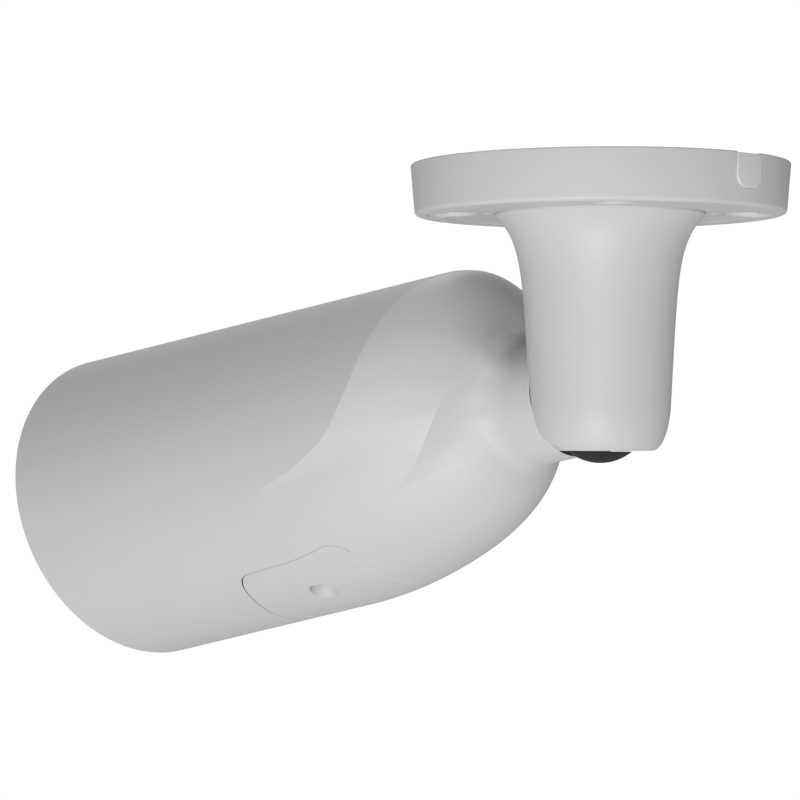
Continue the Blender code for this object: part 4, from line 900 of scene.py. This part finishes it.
def front():
    outer_rear = cone_radius(BEZEL[0]) - BODY_WALL - GAP
    outer_front = cone_radius(BEZEL[1]) - BODY_WALL - GAP
    lip_rear = BEZEL[1] - BEZEL_LIP
    round_r = 0.5 * MM
    profile = [(WINDOW_R + GAP, BEZEL[0]), (outer_rear, BEZEL[0])]
    profile += arc(round_r, 0, 90, 5, (outer_front - round_r, BEZEL[1] - round_r))
    profile += [(BEZEL_LIP_R + 2.2 * MM, BEZEL[1])]
    profile += [(BEZEL_LIP_R + 0.3 * MM, BEZEL[1] - 1.6 * MM), (BEZEL_LIP_R, BEZEL[1] - 2.2 * MM)]
    profile += [(BEZEL_LIP_R, lip_rear), (WINDOW_R + GAP, lip_rear)]
    holes, head_rear = [], BEZEL[1] - BEZEL_HEAD
    for number, degrees in enumerate((90, 210, 330), 1):
        at = (*on_circle(BEZEL_SCREW_CIRCLE_R, degrees), 0)
        before, past, head_hole_r = BEZEL[0] - REACH, BEZEL[1] + REACH, BEZEL_HEAD_R + GAP / 2
        hole = turned([(0, before), (BEZEL_HOLE_R, before), (BEZEL_HOLE_R, head_rear - GAP),
                       (head_hole_r, head_rear - GAP), (head_hole_r, past), (0, past)], 32)
        holes.append(moved(hole, at))
        screw = [(0, BEZEL_SCREW_END), (BEZEL_SCREW_R, BEZEL_SCREW_END), (BEZEL_SCREW_R, head_rear),
                 (BEZEL_HEAD_R, head_rear)]
        screw += arc(0.3 * MM, 0, 90, 3, (BEZEL_HEAD_R - 0.3 * MM, BEZEL[1] - 0.3 * MM)) + [(0, BEZEL[1])]
        socket = star_bit(1.1 * MM, BEZEL[1] - 0.9 * MM, BEZEL[1] + MM)
        bm = carved(turned(screw, 40), [("DIFFERENCE", socket)])
        finish_piece(in_body(forward(moved(bm, at))), f"bezel_screw_torx_{number}", "camera", "steel",
                     f"bezel_screw_{number}", normals=False)
    bm = carved(turned(profile, 192), [("DIFFERENCE", joined(holes))])
    finish_piece(in_body(forward(bm)), "bezel_ring", "camera", "black_plastic", "front_bezel", normals=False)

    edge = 0.3 * MM
    pane = [(0, WINDOW[0]), (WINDOW_R - edge, WINDOW[0]), (WINDOW_R, WINDOW[0] + edge),
            (WINDOW_R, WINDOW[1] - edge), (WINDOW_R - edge, WINDOW[1]), (0, WINDOW[1])]
    finish_piece(in_body(forward(turned(pane, 128))), "window_pane", "camera", "glass", "window_glass")


def lamps():
    for number in range(6):
        x, y = on_circle(LED_CIRCLE_R, 60 * (number + 0.5))
        dome_r = LED_R * 0.78
        dome_low = LED_BASE + 1.2 * MM
        rise = LED_BASE + LED_HEIGHT - dome_low
        profile = [(0, LED_BASE), (LED_R, LED_BASE), (LED_R, LED_BASE + MM), (dome_r, dome_low)]
        for degrees in range(9, 90, 9):
            turn = math.radians(degrees)
            profile.append((dome_r * math.cos(turn), dome_low + rise * math.sin(turn)))
        profile.append((0, LED_BASE + LED_HEIGHT))
        bm = in_body(forward(moved(turned(profile, 48), (x, y, 0))))
        finish_piece(bm, f"infrared_lamp_{number + 1}", "camera", "led_lens", f"led_{number + 1}")


def lens_parts():
    turns = [math.pi / 2 * i / 16 for i in range(16, -1, -1)]
    for end, (low, high) in LENSES.items():
        front_face = [(LENS_R * math.sin(turn), high + LENS_BULGE * math.cos(turn)) for turn in turns]
        back_face = [(r, low - (h - high)) for r, h in reversed(front_face)]
        back_face[0], front_face[-1] = (0, low - LENS_BULGE), (0, high + LENS_BULGE)
        bm = in_body(forward(turned(back_face + front_face, 96)))
        piece = finish_piece(bm, f"{end}_element", "camera", "glass", f"{end}_lens")
        piece.data.materials[0] = LENS_COATING
    for name, ((low, high), turn) in LENS_RINGS.items():
        steps = RIDGES * 4
        radii = [LENS_RING_R - (RIDGE_DEPTH if i % 4 in (2, 3) else 0) for i in range(steps)]
        outline = [on_circle(radius, 360 * i / steps) for i, radius in enumerate(radii)]
        bore = rod(LENS_RING_BORE_R, low - MM, high + MM, 96)
        band = carved(prism(outline, low, high), [("DIFFERENCE", bore)])
        knob = turned([(0, 14.5 * MM), (1.1 * MM, 14.5 * MM), (1.1 * MM, 17 * MM), (1.4 * MM, 17.6 * MM),
                       (1.4 * MM, 19 * MM), (1.1 * MM, 19.5 * MM), (0, 19.5 * MM)], 32)
        knob.transform(Matrix.Rotation(math.radians(turn), 4, "Y"))
        band = carved(forward(band), [("UNION", moved(knob, (0, -(low + high) / 2, 0)))])
        finish_piece(in_body(band), f"{name}_grip", name, "black_plastic", f"{name}_ring", normals=False)


# ---- Stage

SURROUND = 0.40
# Size, power, degrees round from the way the camera looks and degrees up, of each softbox
SOFTBOXES = {"softbox_low": (0.6, 24.5, 126, -28), "softbox_above": (1.0, 10, 320, 55)}
SOFTBOX_DISTANCE = 2.0


def stage():
    """A pale floor a room's height below the ceiling, and an even white surround."""
    drop, reach = 2.4, 9.0
    bm = bmesh.new()
    bmesh.ops.create_circle(bm, cap_ends=True, segments=96, radius=reach)
    bm.transform(Matrix.Translation((0, 0, -drop)))
    mesh = bpy.data.meshes.new("studio_floor")
    bm.to_mesh(mesh)
    bm.free()
    made, tree, shader = new_material("floor_paint_white_rolled", "#F4F4F4", 0.9)
    vary_color(tree, shader, noise(tree, 0.4, 2.0), "#F2F2F2", "#F6F6F6")
    mesh.materials.append(made)
    floor = bpy.data.objects.new("studio_floor", mesh)
    bpy.context.scene.collection.objects.link(floor)

    world = bpy.data.worlds.new("studio")
    bpy.context.scene.world = world
    world.use_nodes = True
    tree = world.node_tree
    tree.nodes.clear()
    path = add_node(tree, "ShaderNodeLightPath").outputs["Is Camera Ray"]
    fill = add_node(tree, "ShaderNodeBackground", inputs={"Color": (1, 1, 1, 1), "Strength": SURROUND})
    seen = add_node(tree, "ShaderNodeBackground", inputs={"Color": (1, 1, 1, 1), "Strength": 1.02})
    mix = add_node(tree, "ShaderNodeMixShader", inputs={0: path, 1: fill.outputs[0], 2: seen.outputs[0]})
    add_node(tree, "ShaderNodeOutputWorld", inputs={"Surface": mix.outputs[0]})


def lights():
    """A softbox on the viewer's side, low down, so that what faces up is darkest, and a weak one behind and
    above, which picks out the top edge."""
    centre = Vector((0, -0.08, -0.07))
    for name, (size, power, azimuth, height) in SOFTBOXES.items():
        light = bpy.data.lights.new(name, "AREA")
        light.shape, light.size, light.energy = "DISK", size, power
        lamp = bpy.data.objects.new(name, light)
        turn, lift = math.radians(azimuth), math.radians(height)
        lamp.location = centre + SOFTBOX_DISTANCE * Vector((
            math.sin(turn) * math.cos(lift), -math.cos(turn) * math.cos(lift), math.sin(lift)))
        lamp.rotation_euler = (centre - lamp.location).to_track_quat("-Z", "Y").to_euler()
        lamp.visible_camera = False
        bpy.context.scene.collection.objects.link(lamp)


def camera():
    """The viewpoint: level with the arm's foot, behind the camera body and 45 degrees round from it."""
    place = Vector((0.61738, 0.53526, -0.07717))
    look = Vector((-math.sqrt(0.5), -math.sqrt(0.5), math.tan(math.radians(0.63))))
    data = bpy.data.cameras.new("viewpoint")
    data.sensor_width = 36
    data.lens = 126.45
    data.clip_start = 0.01
    obj = bpy.data.objects.new("viewpoint", data)
    obj.location = place
    obj.rotation_euler = look.to_track_quat("-Z", "Y").to_euler()
    bpy.context.scene.collection.objects.link(obj)
    bpy.context.scene.camera = obj


bpy.context.scene.view_settings.view_transform = "Standard"
camera()
for name, obj in frame["nodes"].items():
    slot = next(item["material_slot"] for item in frame["record"]["subparts"] if item["node"] == name)
    obj.data.materials.clear()
    obj.data.materials.append(MATERIALS[slot])
flange()
arm()
lock_cap()
ball_joint()
housing()
door()
front()
lamps()
lens_parts()
stage()
lights()
